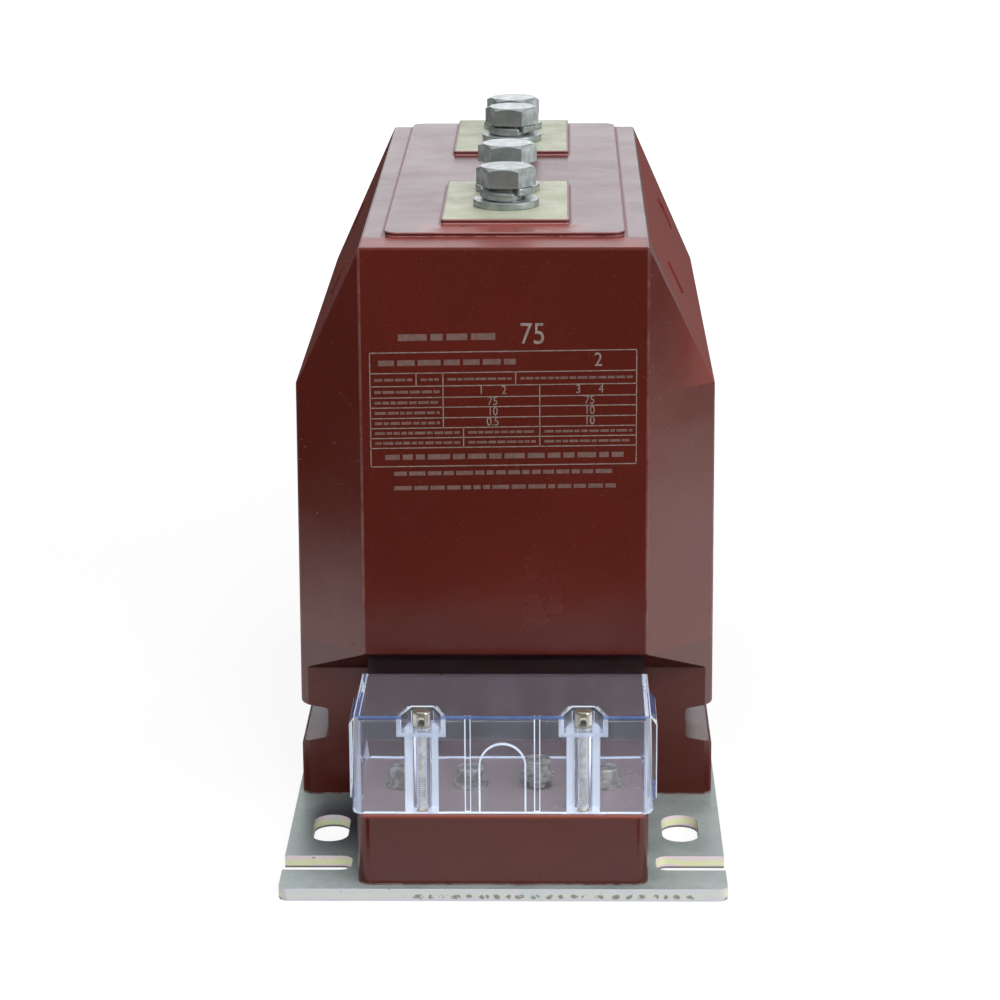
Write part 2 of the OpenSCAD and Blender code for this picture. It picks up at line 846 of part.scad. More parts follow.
// The cover's form, shrunk inwards by a wall and open downwards
module cover_form(wall) {
    half = cover_w / 2 - wall;
    front = cover_y + wall;
    rear = cover_y + cover_l - wall;
    low = wall > 0 ? cover_z - past : cover_z;
    roof = cover_roof - wall;
    draft = cover_draft * (roof - low) / cover_h;
    lean = cover_lean * (roof - low) / cover_h;
    soft = max(edge_r - wall / 2, least_edge_r);
    plan_r = cover_r - wall;
    high = roof + cover_fall;
    across_outline = [[-half, low], [half, low], [half - draft, high], [-half + draft, high]];
    side_outline = rounded(
        [[front, low], [rear, low], [rear - lean, roof - cover_fall], [front, roof]],
        [0, 0, soft, soft]
    );
    plan_outline = rounded(rect(-half, half, front, rear), [for (i = [0 : 3]) plan_r]);
    intersection() {
        along(across_outline, front, rear);
        across(side_outline, cover_w);
        translate([0, 0, low]) linear_extrude(cover_h + 2 * past) polygon(plan_outline);
    }
}

// The plan of a seal screw pocket, grown by its wall
module pocket_plan(wall) {
    front = -past;
    wide = pocket_w / 2 + wall;
    narrow = pocket_rear_w / 2 + wall;
    shoulder = pocket_l - (wide - narrow);
    polygon([
        [-wide, front], [wide, front], [wide, shoulder / 3],
        [narrow, pocket_l + wall], [-narrow, pocket_l + wall], [-wide, shoulder / 3]
    ]);
}

// The clear moulded cover over the secondary terminals
module terminal_cover() {
    color(clear, 0.4)
    difference() {
        union() {
            difference() {
                cover_form(0);
                cover_form(cover_wall);
            }
            intersection() {
                cover_form(0);
                cover_inner_parts();
            }
            cover_grips();
        }
        for (x = seal_xs) translate([x, cover_y, 0]) cover_pocket();
        cover_arch();
    }
}

// The posts, the pockets' walls and the ribs inside the cover
module cover_inner_parts() {
    for (x = seal_xs) translate([x, cover_y, 0]) {
        translate([0, 0, pocket_z - pocket_floor]) linear_extrude(cover_h) pocket_plan(pocket_wall);
        translate([-post_w / 2, 0, cover_z]) cube([post_w, post_l, pocket_z - cover_z]);
    }
    for (x = [-rib_pitch / 2, rib_pitch / 2]) {
        translate([x - rib_w / 2, cover_y, cover_z]) cube([rib_w, cover_wall + rib_d, cover_h]);
    }
}

// The room cut for one seal screw
module cover_pocket() {
    translate([0, 0, pocket_z]) linear_extrude(cover_h) pocket_plan(0);
    translate([0, seal_y, cover_z - past]) {
        cylinder(d = post_bore, h = pocket_z - pocket_floor - cover_z + past);
        cylinder(d = seal_hole_d, h = pocket_z - cover_z + 2 * past);
    }
}

// The thin line around the cable knock-out, cut from inside the front wall
module cover_arch() {
    depth = cover_wall * arch_cut;
    r = arch_w / 2;
    straight = arch_h - r;
    translate([0, cover_y + cover_wall + past, cover_z]) rotate([90, 0, 0]) {
        linear_extrude(depth + past) difference() {
            union() {
                translate([0, straight]) circle(r = r);
                translate([-r, -past]) square([arch_w, straight + past]);
            }
            translate([0, straight]) circle(r = r - arch_line);
            translate([-r + arch_line, -2 * past]) {
                square([arch_w - 2 * arch_line, straight + 2 * past]);
            }
        }
    }
}

// The raised grip panels on the cover's sides
module cover_grips() {
    half = cover_w / 2;
    inner = half - cover_wall;
    outer = half + grip_t - grip_sink;
    top = cover_z + grip_h;
    outline = [
        [inner, cover_z], [outer, cover_z], [outer, top - 2 * grip_t],
        [half - cover_draft, top], [inner, top]
    ];
    middle = cover_y + cover_l / 2;
    for (side = [0, 1]) mirror([side, 0, 0]) {
        along(outline, middle - grip_l / 2, middle + grip_l / 2);
    }
}

// The sealable screws that hold the cover
module seal_screws() {
    reach = pocket_z - cover_z + seal_grip;
    color(nickel)
    at_seals(pocket_z) {
        difference() {
            union() {
                slotted_head(seal_head_d, seal_head_h);
                translate([0, 0, -reach]) cylinder(d = seal_d, h = reach + seal_head_h / 4);
            }
            translate([0, seal_head_d, seal_head_h * wire_height]) rotate([90, 0, 0]) {
                cylinder(d = seal_wire_d, h = 2 * seal_head_d);
            }
        }
    }
}

// The inserts of the seal screws
module seal_screw_inserts() {
    color(brass)
    at_seals(block_h) threaded_insert(seal_insert_d, seal_insert_l, seal_d, seal_grip + past);
}

module primary_terminal_1() { primary_terminal(terminal_ys[0]); }
module primary_terminal_2() { primary_terminal(terminal_ys[1]); }
module primary_winding() { color(copper) primary_loop(); }
module primary_strap_1() { color(copper) primary_strap(terminal_ys[0]); }
module primary_strap_2() { color(copper) primary_strap(terminal_ys[1]); }
module metering_core() { color(core_grey) ring_core(metering_y, metering_l); }
module protection_core() { color(core_grey) ring_core(protection_y, protection_l); }
module metering_winding() { color(copper) ring_winding(metering_y, metering_w, metering_l); }
module protection_winding() { color(copper) ring_winding(protection_y, protection_w, protection_l); }
module metering_leads() { color(copper) for (x = metering_xs) secondary_lead(x, metering_y); }
module protection_leads() { color(copper) for (x = protection_xs) secondary_lead(x, protection_y); }

resin_body();
base_plate();
base_plate_screws();
base_plate_inserts();
primary_terminal_1();
primary_terminal_2();
primary_winding();
primary_strap_1();
primary_strap_2();
metering_core();
protection_core();
metering_winding();
protection_winding();
metering_leads();
protection_leads();
secondary_inserts();
secondary_screws();
secondary_flat_washers();
secondary_spring_washers();
primary_bolts();
primary_flat_washers();
primary_spring_washers();
terminal_cover();
seal_screws();
seal_screw_inserts();
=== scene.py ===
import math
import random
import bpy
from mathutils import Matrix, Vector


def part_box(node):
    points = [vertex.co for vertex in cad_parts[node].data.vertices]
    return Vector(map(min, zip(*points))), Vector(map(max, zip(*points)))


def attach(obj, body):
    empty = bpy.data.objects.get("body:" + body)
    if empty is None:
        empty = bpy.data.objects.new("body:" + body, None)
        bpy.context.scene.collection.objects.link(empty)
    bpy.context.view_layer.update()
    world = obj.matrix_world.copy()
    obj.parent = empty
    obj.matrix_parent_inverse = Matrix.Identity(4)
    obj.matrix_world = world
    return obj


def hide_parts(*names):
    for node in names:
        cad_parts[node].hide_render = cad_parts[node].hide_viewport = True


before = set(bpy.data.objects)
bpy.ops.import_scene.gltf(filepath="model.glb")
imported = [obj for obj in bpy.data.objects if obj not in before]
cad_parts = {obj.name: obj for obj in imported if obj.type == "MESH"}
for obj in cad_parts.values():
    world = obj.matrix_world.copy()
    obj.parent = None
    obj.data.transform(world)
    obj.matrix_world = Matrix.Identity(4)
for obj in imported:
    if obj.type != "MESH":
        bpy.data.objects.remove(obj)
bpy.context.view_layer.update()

# %% [markdown]
# # A cast resin current transformer
# The real object is a brick-red epoxy casting on a zinc plated steel plate. Two plated terminals
# with hexagon bolts sit on top, and a clear cover protects four small screws at the front.
# The frame brings every piece at its true size. This lesson gives each of them its finish, softens
# the edges that light catches, and adds what is only skin deep: ink, raised marks and threads.

# %% Tools and the frame's own box
from types import SimpleNamespace

import bmesh
import bpy
from mathutils import Matrix, Vector

MM = 0.001
scene = bpy.context.scene

# %% [markdown]
# ## The camera
# The photograph was taken from a little above, almost square to the front. A long lens keeps the
# flanks narrow. The lens is given in pixels of the square picture, and Blender wants millimetres
# on a 36 mm sensor. Pitch, yaw and roll turn the viewing axis, which starts along +Y.

# %% Place the camera
LENS_PX = 3270.0
PICTURE_PX = 1000.0
SENSOR_MM = 36.0
CAMERA_AT = Vector((19.73, -1219.23, 429.51)) * MM
PITCH, YAW, ROLL = (math.radians(a) for a in (15.407, 1.098, -0.304))

view_axis = Vector((
    -math.sin(YAW) * math.cos(PITCH), math.cos(YAW) * math.cos(PITCH), -math.sin(PITCH)
))
level = Vector((math.cos(YAW), math.sin(YAW), 0))
upright = level.cross(view_axis)
right = level * math.cos(ROLL) + upright * math.sin(ROLL)
up = upright * math.cos(ROLL) - level * math.sin(ROLL)

camera_data = bpy.data.cameras.new("photo_camera")
camera_data.sensor_width = SENSOR_MM
camera_data.lens = LENS_PX * SENSOR_MM / PICTURE_PX
camera_data.clip_end = 20
camera = bpy.data.objects.new("photo_camera", camera_data)
scene.collection.objects.link(camera)
turn = Matrix((right, up, -view_axis)).transposed().to_4x4()
camera.matrix_world = Matrix.Translation(CAMERA_AT) @ turn
scene.camera = camera
print("lens", round(camera_data.lens, 1), "mm")

# %% [markdown]
# ## Node helpers
# Every finish below is a graph of nodes, and these helpers keep the graphs short. They add a node
# and fill its sockets, give a noise in object space, stretch a grey value into a chosen range, take
# grey values together, and mix two colours. A link is made wherever a socket is passed in place of
# a number. Most masks are products of ramps, so that a mark shows only where all of them are up.

# %% Node helpers
def fill(tree, node, **sockets):
    """Sets sockets by name or number, with a number, a colour or another node's output."""
    for name, value in sockets.items():
        socket = node.inputs[int(name[1:]) if name[0] == "_" else name.replace("_", " ")]
        if isinstance(value, bpy.types.NodeSocket):
            tree.links.new(value, socket)
        else:
            socket.default_value = value
    return node


def add(tree, kind, **sockets):
    """A new node with its sockets filled."""
    return fill(tree, tree.nodes.new("ShaderNode" + kind), **sockets)


def axes(tree, vector):
    """The three parts of a vector."""
    parts = add(tree, "SeparateXYZ", Vector=vector)
    return parts.outputs[0], parts.outputs[1], parts.outputs[2]


def place(tree):
    """The point on the surface, in the part's own frame, in metres."""
    return add(tree, "TexCoord").outputs["Object"]


def facing(tree):
    """The way the surface looks, in parts along X, Y and Z."""
    return axes(tree, add(tree, "NewGeometry").outputs["Normal"])


def noise(tree, scale, detail=3.0, rough=0.55, stretch=(1, 1, 1), seed=0.0, distort=0.0):
    """A grey noise. The scale is in waves per metre, and the stretch widens it along an axis."""
    mapped = add(tree, "Mapping", Vector=place(tree), Scale=stretch, Location=(seed, seed, seed))
    return add(
        tree, "TexNoise", Vector=mapped.outputs[0], Scale=scale, Detail=detail, Roughness=rough,
        Distortion=distort,
    ).outputs["Fac"]


def span(tree, value, low, high, out_low=0.0, out_high=1.0):
    """The value eased from low..high to out_low..out_high, and held at the ends."""
    ramp = add(
        tree, "MapRange", Value=value, From_Min=low, From_Max=high, To_Min=out_low, To_Max=out_high
    )
    ramp.interpolation_type = "SMOOTHSTEP"
    return ramp.outputs[0]


def maths(tree, operation, a, b=0.0):
    """One sum on two values."""
    node = add(tree, "Math", _0=a, _1=b)
    node.operation = operation
    return node.outputs[0]


def gather(tree, operation, values):
    """Values taken together by one kind of sum, one after the other."""
    total = values[0]
    for value in values[1:]:
        total = maths(tree, operation, total, value)
    return total


def product(tree, *values):
    """Grey values multiplied together."""
    return gather(tree, "MULTIPLY", values)


def most(tree, *values):
    """The largest of some values."""
    return gather(tree, "MAXIMUM", values)


def unsigned(tree, value):
    """The value without its sign."""
    return maths(tree, "ABSOLUTE", value)


def inverse(tree, value):
    """1 minus the value."""
    return maths(tree, "SUBTRACT", 1.0, value)


def step(tree, value, edge, start, full):
    """Rises from 0 to 1 between two distances from an edge, which are in millimetres."""
    return span(tree, value, edge + start * MM, edge + full * MM)


def near(tree, value, centre, reach):
    """1 where the value is at the centre, fading to 0 at its reach."""
    return span(tree, unsigned(tree, maths(tree, "SUBTRACT", value, centre)), reach, 0.0)


def plane(tree, point, slopes, through):
    """How far a point is in front of a plane, from its slopes and a point that it goes through."""
    parts = [maths(tree, "MULTIPLY", value, slope) for value, slope in zip(point, slopes)]
    level = sum(slope * part for slope, part in zip(slopes, through))
    return maths(tree, "SUBTRACT", gather(tree, "ADD", parts), level)


def blend(tree, amount, a, b):
    """Two colours mixed by an amount."""
    node = tree.nodes.new("ShaderNodeMix")
    node.data_type = "RGBA"
    first, second = (c if isinstance(c, bpy.types.NodeSocket) else (*c, 1.0) for c in (a, b))
    return fill(tree, node, _0=amount, _6=first, _7=second).outputs[2]


def bump(tree, height, depth, under=None):
    """A normal from a height, in metres of depth."""
    node = add(tree, "Bump", Height=height, Distance=depth, Strength=1.0)
    if under is not None:
        fill(tree, node, Normal=under)
    return node.outputs[0]


def srgb(red, green, blue):
    """A colour as a picture shows it, 0 to 255, as the linear numbers that shaders use."""
    return tuple(
        (c / 255 / 12.92) if c <= 10 else ((c / 255 + 0.055) / 1.055) ** 2.4
        for c in (red, green, blue)
    )


def finish_material(name, build):
    """A material whose graph is filled in by a function of its tree and its main shader."""
    material = bpy.data.materials.new(name)
    material.use_nodes = True
    tree = material.node_tree
    build(tree, tree.nodes["Principled BSDF"])
    return material


print("a grey of 128 is", round(srgb(128, 128, 128)[0], 3), "to a shader")

# %% [markdown]
# ## Places on the casting
# The casting is one deep red piece, so what tells its faces apart is how the mould and the handling
# left them, and the light and shade painted on them. A painted picture would need seams, and it
# would smear on the slopes. Here each mark is worked out from the place on the casting, so the
# places of its faces come first. Half widths are enough across, because both sides are alike.

# %% Places on the casting
body_low, body_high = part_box("resin_body")
terminal_low, terminal_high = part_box("primary_terminal_1")
cover_low, cover_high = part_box("terminal_cover")
BLOCK_L, PAD_SETBACK, PAD_L, PAD_HALF = 69 * MM, 19.5 * MM, 247.7 * MM, 42.4 * MM
BLOCK_Y, REAR_Y = body_low.y, body_high.y
FRONT_Y = BLOCK_Y + BLOCK_L
PAD_Y = FRONT_Y + PAD_SETBACK
FACE_HALF, RIDGE_HALF, CORNER_L = 50.5 * MM, 74.8 * MM, 21.5 * MM
CHIN_Z, RIDGE_Z = 65 * MM, 160 * MM
PLATE_TOP, BLOCK_TOP, BODY_TOP, PAD_TOP = body_low.z, cover_low.z, 213 * MM, 214.75 * MM


def unit(a, b):
    """Two slopes scaled to a length of one."""
    length = math.hypot(a, b)
    return a / length, b / length


FLANK = unit(BODY_TOP - RIDGE_Z, RIDGE_HALF - FACE_HALF)
FRONT_CORNER = unit(CORNER_L, FACE_HALF - RIDGE_HALF)
REAR_CORNER = unit(CORNER_L, RIDGE_HALF - FACE_HALF)


def spot(tree):
    """The place on the casting, and whether its surface there stands upright or lies flat."""
    x, y, z = axes(tree, place(tree))
    upright = span(tree, unsigned(tree, facing(tree)[2]), 0.7, 0.3)
    return SimpleNamespace(
        x=x, y=y, z=z, side=unsigned(tree, x), upright=upright, lying=inverse(tree, upright)
    )


print("front face at y", round(FRONT_Y / MM, 1), "mm, rear face at", round(REAR_Y / MM, 1), "mm")

# %% [markdown]
# ## Rubbed edges and dull seams
# Hands and slings wipe the outer edges pale, and a dull line stays at the foot of each raised part.
# An edge is where two faces meet, so a point lies on it when it is close to both of their planes.
# That is a sum on the point's place, and it holds for every side at once.

# %% Rubbed edges and dull seams
RUBBED_REACH = 0.6 * MM


def edge_lines(tree, at):
    """1 along the casting's outer edges, where the skin is rubbed."""
    beyond = {
        "flank": plane(tree, (at.side, at.z), FLANK, (RIDGE_HALF, RIDGE_Z)),
        "corner": plane(tree, (at.side, at.y), FRONT_CORNER, (FACE_HALF, FRONT_Y)),
        "front": maths(tree, "SUBTRACT", at.y, FRONT_Y),
        "top": maths(tree, "SUBTRACT", at.z, BODY_TOP),
        "wall": maths(tree, "SUBTRACT", at.side, RIDGE_HALF),
    }
    on = {face: near(tree, distance, 0.0, RUBBED_REACH) for face, distance in beyond.items()}
    meeting = (
        ("corner", "front"), ("flank", "corner"), ("flank", "top"), ("front", "top"),
        ("corner", "wall"),
    )
    return most(tree, *(product(tree, on[a], on[b]) for a, b in meeting))


def around(tree, at, half, start, end, offset, width):
    """1 on a line that runs round a rectangle on the top, at an offset from its edge."""
    from_middle = unsigned(tree, maths(tree, "SUBTRACT", at.y, (start + end) / 2))
    beyond_y = maths(tree, "SUBTRACT", from_middle, (end - start) / 2)
    beyond_x = maths(tree, "SUBTRACT", at.side, half)
    return near(tree, most(tree, beyond_x, beyond_y), offset, width)


def top_seams(tree, at):
    """The dull lines at the foot of the pad and round both terminals."""
    lines = [around(tree, at, PAD_HALF, PAD_Y, PAD_Y + PAD_L, 0.6 * MM, 2.0 * MM)]
    for node in ("primary_terminal_1", "primary_terminal_2"):
        low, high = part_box(node)
        lines.append(around(tree, at, high.x, low.y, high.y, 0.9 * MM, 1.8 * MM))
    return most(tree, *lines)


print("flanks lean by", round(math.degrees(math.atan2(FLANK[1], FLANK[0])), 1), "degrees")

# %% [markdown]
# ## Stains, worn patches and painted light
# Each mark below is a row: where it lies, what share of the skin it covers, its colour, and how
# rough it makes the skin. They go by the part of the casting that they lie on. Some rows are painted
# light and shade: shade under the chin and low on the front, light on the flanks, highlights on the
# steps' crests and the block's rim, a sheen on the block's top and a reflection in front of the pad.
# A later mark covers an earlier one, so dust and chalky steps come after stains.

# %% Marks all over the casting and on its terminal block
def mark(where, share, colour, rough=0.0):
    """One row. A roughness of 0 leaves the skin's own gloss."""
    return where, share, srgb(*colour), rough


def handling_marks(tree, at):
    """Flow streaks, speckle and smudges from the mould and from hands, and the rubbed edges."""
    streaks = noise(tree, 30, detail=5, stretch=(1, 1, 0.12), seed=3)
    speckle = noise(tree, 1100, detail=2, seed=7)
    wear = span(tree, noise(tree, 130, detail=5, rough=0.7, seed=11), 0.3, 0.65, 0.12, 0.4)
    smudges = noise(tree, 55, detail=6, rough=0.7, seed=19, distort=1.0)
    return [
        mark(span(tree, streaks, 0.5, 0.85), 0.3, (74, 24, 17)),
        mark(span(tree, speckle, 0.6, 0.75), 0.12, (150, 92, 84)),
        mark(span(tree, edge_lines(tree, at), 0.1, 0.6), wear, (150, 112, 112)),
        mark(span(tree, smudges, 0.68, 0.78), 0.3, (58, 34, 34)),
    ]


def block_marks(tree, at):
    """Dusty grey and a painted sheen on the block's top, painted shade under the chin, over the block
    and low on the front, and the block's front rim, pale from wear and a painted highlight.
    """
    under_cover = step(tree, at.y, FRONT_Y, -8, -10)
    # Partly dust and partly a painted sheen: the block's top under the cover is made pale grey.
    dust_and_sheen = product(tree, near(tree, at.z, BLOCK_TOP, 0.8 * MM), under_cover)
    # Painted shade: darker under the chin, near black in the hollow over the block, and a little
    # darker on the lower walls and low on the front face.
    shade_under_chin = product(tree, step(tree, at.z, CHIN_Z, 0.5, -1), step(tree, at.y, FRONT_Y, 1, 3))
    recess_shade = product(
        tree, shade_under_chin, step(tree, at.side, FACE_HALF, 0, -1),
        step(tree, at.z, BLOCK_TOP, 0, 1), step(tree, at.y, FRONT_Y, 12, 10),
    )
    low_face_shade = product(tree, step(tree, at.z, CHIN_Z, 30, 0), step(tree, at.y, FRONT_Y, 2, 0))
    # Wear and a painted highlight: the block's front rim is made pale.
    rim_line = near(tree, at.z, BLOCK_TOP - 0.6 * MM, 1.1 * MM)
    rim = product(tree, rim_line, step(tree, at.y, BLOCK_Y, 2, 1))
    return [
        mark(dust_and_sheen, 0.85, (150, 138, 140)),
        mark(shade_under_chin, 0.5, (62, 22, 17)),
        mark(recess_shade, 0.9, (22, 12, 12)),
        mark(low_face_shade, 0.3, (56, 20, 16)),
        mark(rim, 0.8, (152, 84, 72)),
    ]


print("chin at z", round(CHIN_Z / MM, 1), "mm, block's top at", round(BLOCK_TOP / MM, 1), "mm")

# %% Marks on the casting's flanks, top and steps
def flank_marks(tree, at):
    """Painted light on both sloping flanks, stronger on the right, with a duller skin that ends at
    the corners' edges.
    """
    to_front = plane(tree, (at.side, at.y), FRONT_CORNER, (FACE_HALF, FRONT_Y))
    to_rear = plane(tree, (at.side, at.y), REAR_CORNER, (FACE_HALF, REAR_Y))
    flank = product(
        tree, step(tree, at.z, RIDGE_Z, -1, 1), step(tree, at.side, FACE_HALF, 0, 1.5),
        step(tree, to_rear, 0, -0.2, -1),
    )
    from_face = step(tree, at.y, FRONT_Y, 2, 24)
    # Painted light: the right flank is made lighter than the left, as the light falls on it.
    right = product(tree, flank, from_face, step(tree, at.x, 0, 0, 10))
    left = product(tree, flank, step(tree, to_front, 0, -0.2, -1), step(tree, at.x, 0, 0, -10))
    return [mark(right, 0.75, (128, 46, 34), 0.5), mark(left, 0.5, (128, 46, 34), 0.55)]


def top_marks(tree, at):
    """The cooler top, a painted reflection of the pad's front wall on the band in front of the pad,
    and the apron in front of the first terminal.
    """
    level_top = step(tree, at.z, BODY_TOP, -0.3, -0.1)
    patchy = span(tree, noise(tree, 90, detail=4, rough=0.6, seed=53), 0.35, 0.6, 0.5, 0.9)
    # Painted reflection: the band before the pad is redder, where the pad's front wall would reflect.
    strip_reflection = product(tree, level_top, step(tree, at.y, PAD_Y, 0.5, -0.5), at.lying)
    apron = product(
        tree, level_top, at.lying, patchy, step(tree, at.y, terminal_low.y, 0, -1),
        step(tree, at.side, terminal_high.x, 14, -3), step(tree, at.y, PAD_Y, -0.5, 0.5),
    )
    return [
        mark(level_top, 0.4, (66, 42, 48)),
        mark(strip_reflection, patchy, (136, 54, 46), 0.36),
        mark(apron, 1.0, (146, 70, 62), 0.5),
    ]


def step_marks(tree, at):
    """Painted highlights along the top of each step's wall, chalky feet of the steps, the joint with
    the plate, and the dull seams.
    """
    chalk = span(tree, noise(tree, 240, detail=3, seed=47), 0.35, 0.6, 0.3, 0.9)
    # Painted highlight: a pale line at the top of each upright step wall.
    crest_highlights = most(
        tree, *(near(tree, at.z, crest, 0.7 * MM) for crest in (PAD_TOP, terminal_high.z))
    )
    feet = most(
        tree, *(near(tree, at.z, foot + 0.25 * MM, 0.3 * MM) for foot in (BODY_TOP, PAD_TOP))
    )
    joint = near(tree, at.z, PLATE_TOP + 0.3 * MM, 0.5 * MM)
    seams = product(tree, top_seams(tree, at), step(tree, at.z, BODY_TOP, -1, 0), at.lying)
    return [
        mark(product(tree, crest_highlights, at.upright), 0.9, (204, 158, 158)),
        mark(feet, chalk, (196, 134, 128)),
        mark(joint, chalk, (140, 132, 130)),
        mark(seams, 0.5, (120, 50, 46), 0.42),
    ]


print("top at z", round(BODY_TOP / MM, 1), "mm, pad's top at", round(PAD_TOP / MM, 2), "mm")

# %% [markdown]
# ## Cast epoxy
# Filled epoxy is the same red right to the core, so the material is an opaque plastic with soft
# clouds in its colour. The marks go over it in turn. The skin has a fine grain, long waves from the
# mould and a few pits, which only bend the light and leave the shape alone.

# %% The epoxy material
def cast_epoxy(tree, shader):
    at = spot(tree)
    clouds = noise(tree, 9, detail=4)
    colour = blend(tree, span(tree, clouds, 0.35, 0.7), srgb(85, 26, 16), srgb(95, 30, 19))
    gloss = span(tree, noise(tree, 24, detail=5, rough=0.65, seed=23), 0.3, 0.75, 0.20, 0.29)
    for marks in (handling_marks, block_marks, flank_marks, top_marks, step_marks):
        for where, share, tint, rough in marks(tree, at):
            colour = blend(tree, product(tree, where, share), colour, tint)
            if rough:
                gloss = most(tree, gloss, product(tree, where, rough))
    skin = bump(tree, noise(tree, 700, detail=3, seed=29), 0.02 * MM)
    waves = bump(tree, noise(tree, 28, detail=2, seed=31), 0.3 * MM, under=skin)
    pits = span(tree, noise(tree, 420, detail=1, seed=37), 0.22, 0.26)
    normal = bump(tree, pits, 0.08 * MM, under=waves)
    fill(tree, shader, Base_Color=colour, Roughness=gloss, IOR=1.5, Normal=normal)


epoxy = finish_material("cast_epoxy", cast_epoxy)
print("cast epoxy:", len(epoxy.node_tree.nodes), "nodes")

# %% [markdown]
# ## Zinc plated steel
# The plate is rolled steel with a dull zinc coat. Where it was cut, the passivation shows straw,
# pink and green, and the front edge has a row of dark marks. A face that points sideways is a cut
# edge, so the surface's own direction tells the shader where to lay these colours, and no face has
# to be picked by hand.

# %% The plate's zinc
PLATE_FRONT_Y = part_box("base_plate")[0].y
PINK, STRAW, ROSE = srgb(242, 222, 236), srgb(238, 242, 200), srgb(246, 228, 236)
MINT, SILVER = srgb(190, 226, 216), srgb(208, 214, 220)
BURR_SHADE, BEAD = srgb(78, 84, 82), srgb(126, 124, 118)
BEAD_PITCH = 4.5 * MM


def cut_colours(tree, z, in_front):
    """Bands from pink over straw to rose up a cut edge, with mint clouds, and dark low down for a
    rough lip and a painted shade.
    """
    band = noise(tree, 45, detail=3, seed=13, distort=0.5)
    height = maths(tree, "ADD", z, span(tree, band, 0.3, 0.7, -0.7 * MM, 0.7 * MM))
    colour = blend(tree, step(tree, height, 0, 0.6, 1.4), PINK, STRAW)
    colour = blend(tree, step(tree, height, 0, 2.8, 3.6), colour, ROSE)
    colour = blend(tree, span(tree, band, 0.58, 0.66, 0, 0.6), colour, MINT)
    colour = blend(tree, product(tree, in_front, 0.75), colour, SILVER)
    # A burr and a painted shade: the cut edges, but not the front one, are dark low down.
    burr_shade = product(tree, step(tree, z, 0, 1.0, 0.5), 0.85, inverse(tree, in_front))
    return blend(tree, burr_shade, colour, BURR_SHADE)


def bead_row(tree, x, z):
    """A ragged row of dark marks, low on an edge."""
    jitter = span(tree, noise(tree, 90, detail=2, seed=25), 0.3, 0.7, 89 * MM, 91.5 * MM)
    shifted = maths(tree, "ADD", x, jitter)
    beads = maths(tree, "FRACT", maths(tree, "MULTIPLY", shifted, 1 / BEAD_PITCH))
    ragged = span(tree, noise(tree, 500, detail=4, rough=0.7, seed=21), 0.36, 0.56, 0.15, 1.0)
    return product(
        tree, near(tree, z, 1.6 * MM, 1.4 * MM), near(tree, beads, 0.5, 0.46), ragged,
        step(tree, x, 0, -36, -30), step(tree, x, 0, 68, 64),
    )


def zinc_plate(tree, shader):
    x, y, z = axes(tree, place(tree))
    flat = span(tree, noise(tree, 35, detail=6, rough=0.7), 0.3, 0.7)
    colour = blend(tree, flat, srgb(148, 161, 159), srgb(180, 191, 188))
    grain = noise(tree, 650, detail=4, rough=0.7, stretch=(0.5, 1, 1), seed=5)
    colour = blend(tree, span(tree, grain, 0.4, 0.7, 0, 0.4), colour, srgb(186, 196, 193))
    # Painted shade: the plate is darkened beside and in front of the casting, on the left only.
    shaded = product(
        tree, step(tree, x, 0, -77, -64), step(tree, x, 0, 20, 0),
        near(tree, y, -115 * MM, 57 * MM),
    )
    colour = blend(tree, product(tree, shaded, 0.95), colour, srgb(52, 54, 62))
    in_front = step(tree, y, PLATE_FRONT_Y, 1.5, 0.3)
    cut = span(tree, unsigned(tree, facing(tree)[2]), 0.7, 0.3)
    colour = blend(tree, cut, colour, cut_colours(tree, z, in_front))
    spots = span(tree, noise(tree, 500, detail=2, seed=17), 0.70, 0.75, 0, 0.5)
    colour = blend(tree, spots, colour, srgb(84, 88, 88))
    beads = product(tree, bead_row(tree, x, z), in_front)
    colour = blend(tree, span(tree, beads, 0.12, 0.5, 0, 0.85), colour, BEAD)
    fill(
        tree, shader, Base_Color=colour, Metallic=span(tree, cut, 0, 1, 0.22, 0.0),
        Roughness=span(tree, flat, 0, 1, 0.38, 0.52),
        Normal=bump(tree, noise(tree, 900, detail=2, seed=3), 0.02 * MM),
    )


plate_finish = finish_material("zinc_plate", zinc_plate)
print("plate's zinc:", len(plate_finish.node_tree.nodes), "nodes")

# %% [markdown]
# ## Zinc on the bolts and screws
# The bolts are bright and a little spotted. Their zinc is painted paler where a face looks up, a
# painted highlight, and darker where it looks to the front, a painted shade. A plain tint can't give
# that, so the surface's direction is used again. The small screws under the cover are duller and
# yellower.

# %% Zinc on the bolts and screws
def bright_zinc(tree, shader):
    cloud = span(tree, noise(tree, 260, detail=4), 0.35, 0.7)
    colour = blend(tree, cloud, srgb(162, 172, 171), srgb(196, 204, 203))
    spots = span(tree, noise(tree, 900, detail=3, seed=9), 0.66, 0.72, 0, 0.5)
    colour = blend(tree, spots, colour, srgb(110, 116, 114))
    _, to_rear, upward = facing(tree)
    # Painted highlight on faces that look up, and painted shade on faces that look to the front.
    colour = blend(tree, span(tree, upward, 0.75, 0.9, 0, 0.5), colour, srgb(226, 232, 230))
    colour = blend(tree, span(tree, to_rear, -0.82, -0.94, 0, 0.4), colour, srgb(142, 152, 149))
    fill(
        tree, shader, Base_Color=colour, Metallic=0.72,
        Roughness=span(tree, cloud, 0, 1, 0.40, 0.28),
        Normal=bump(tree, noise(tree, 1500, detail=3, seed=3), 0.04 * MM),
    )


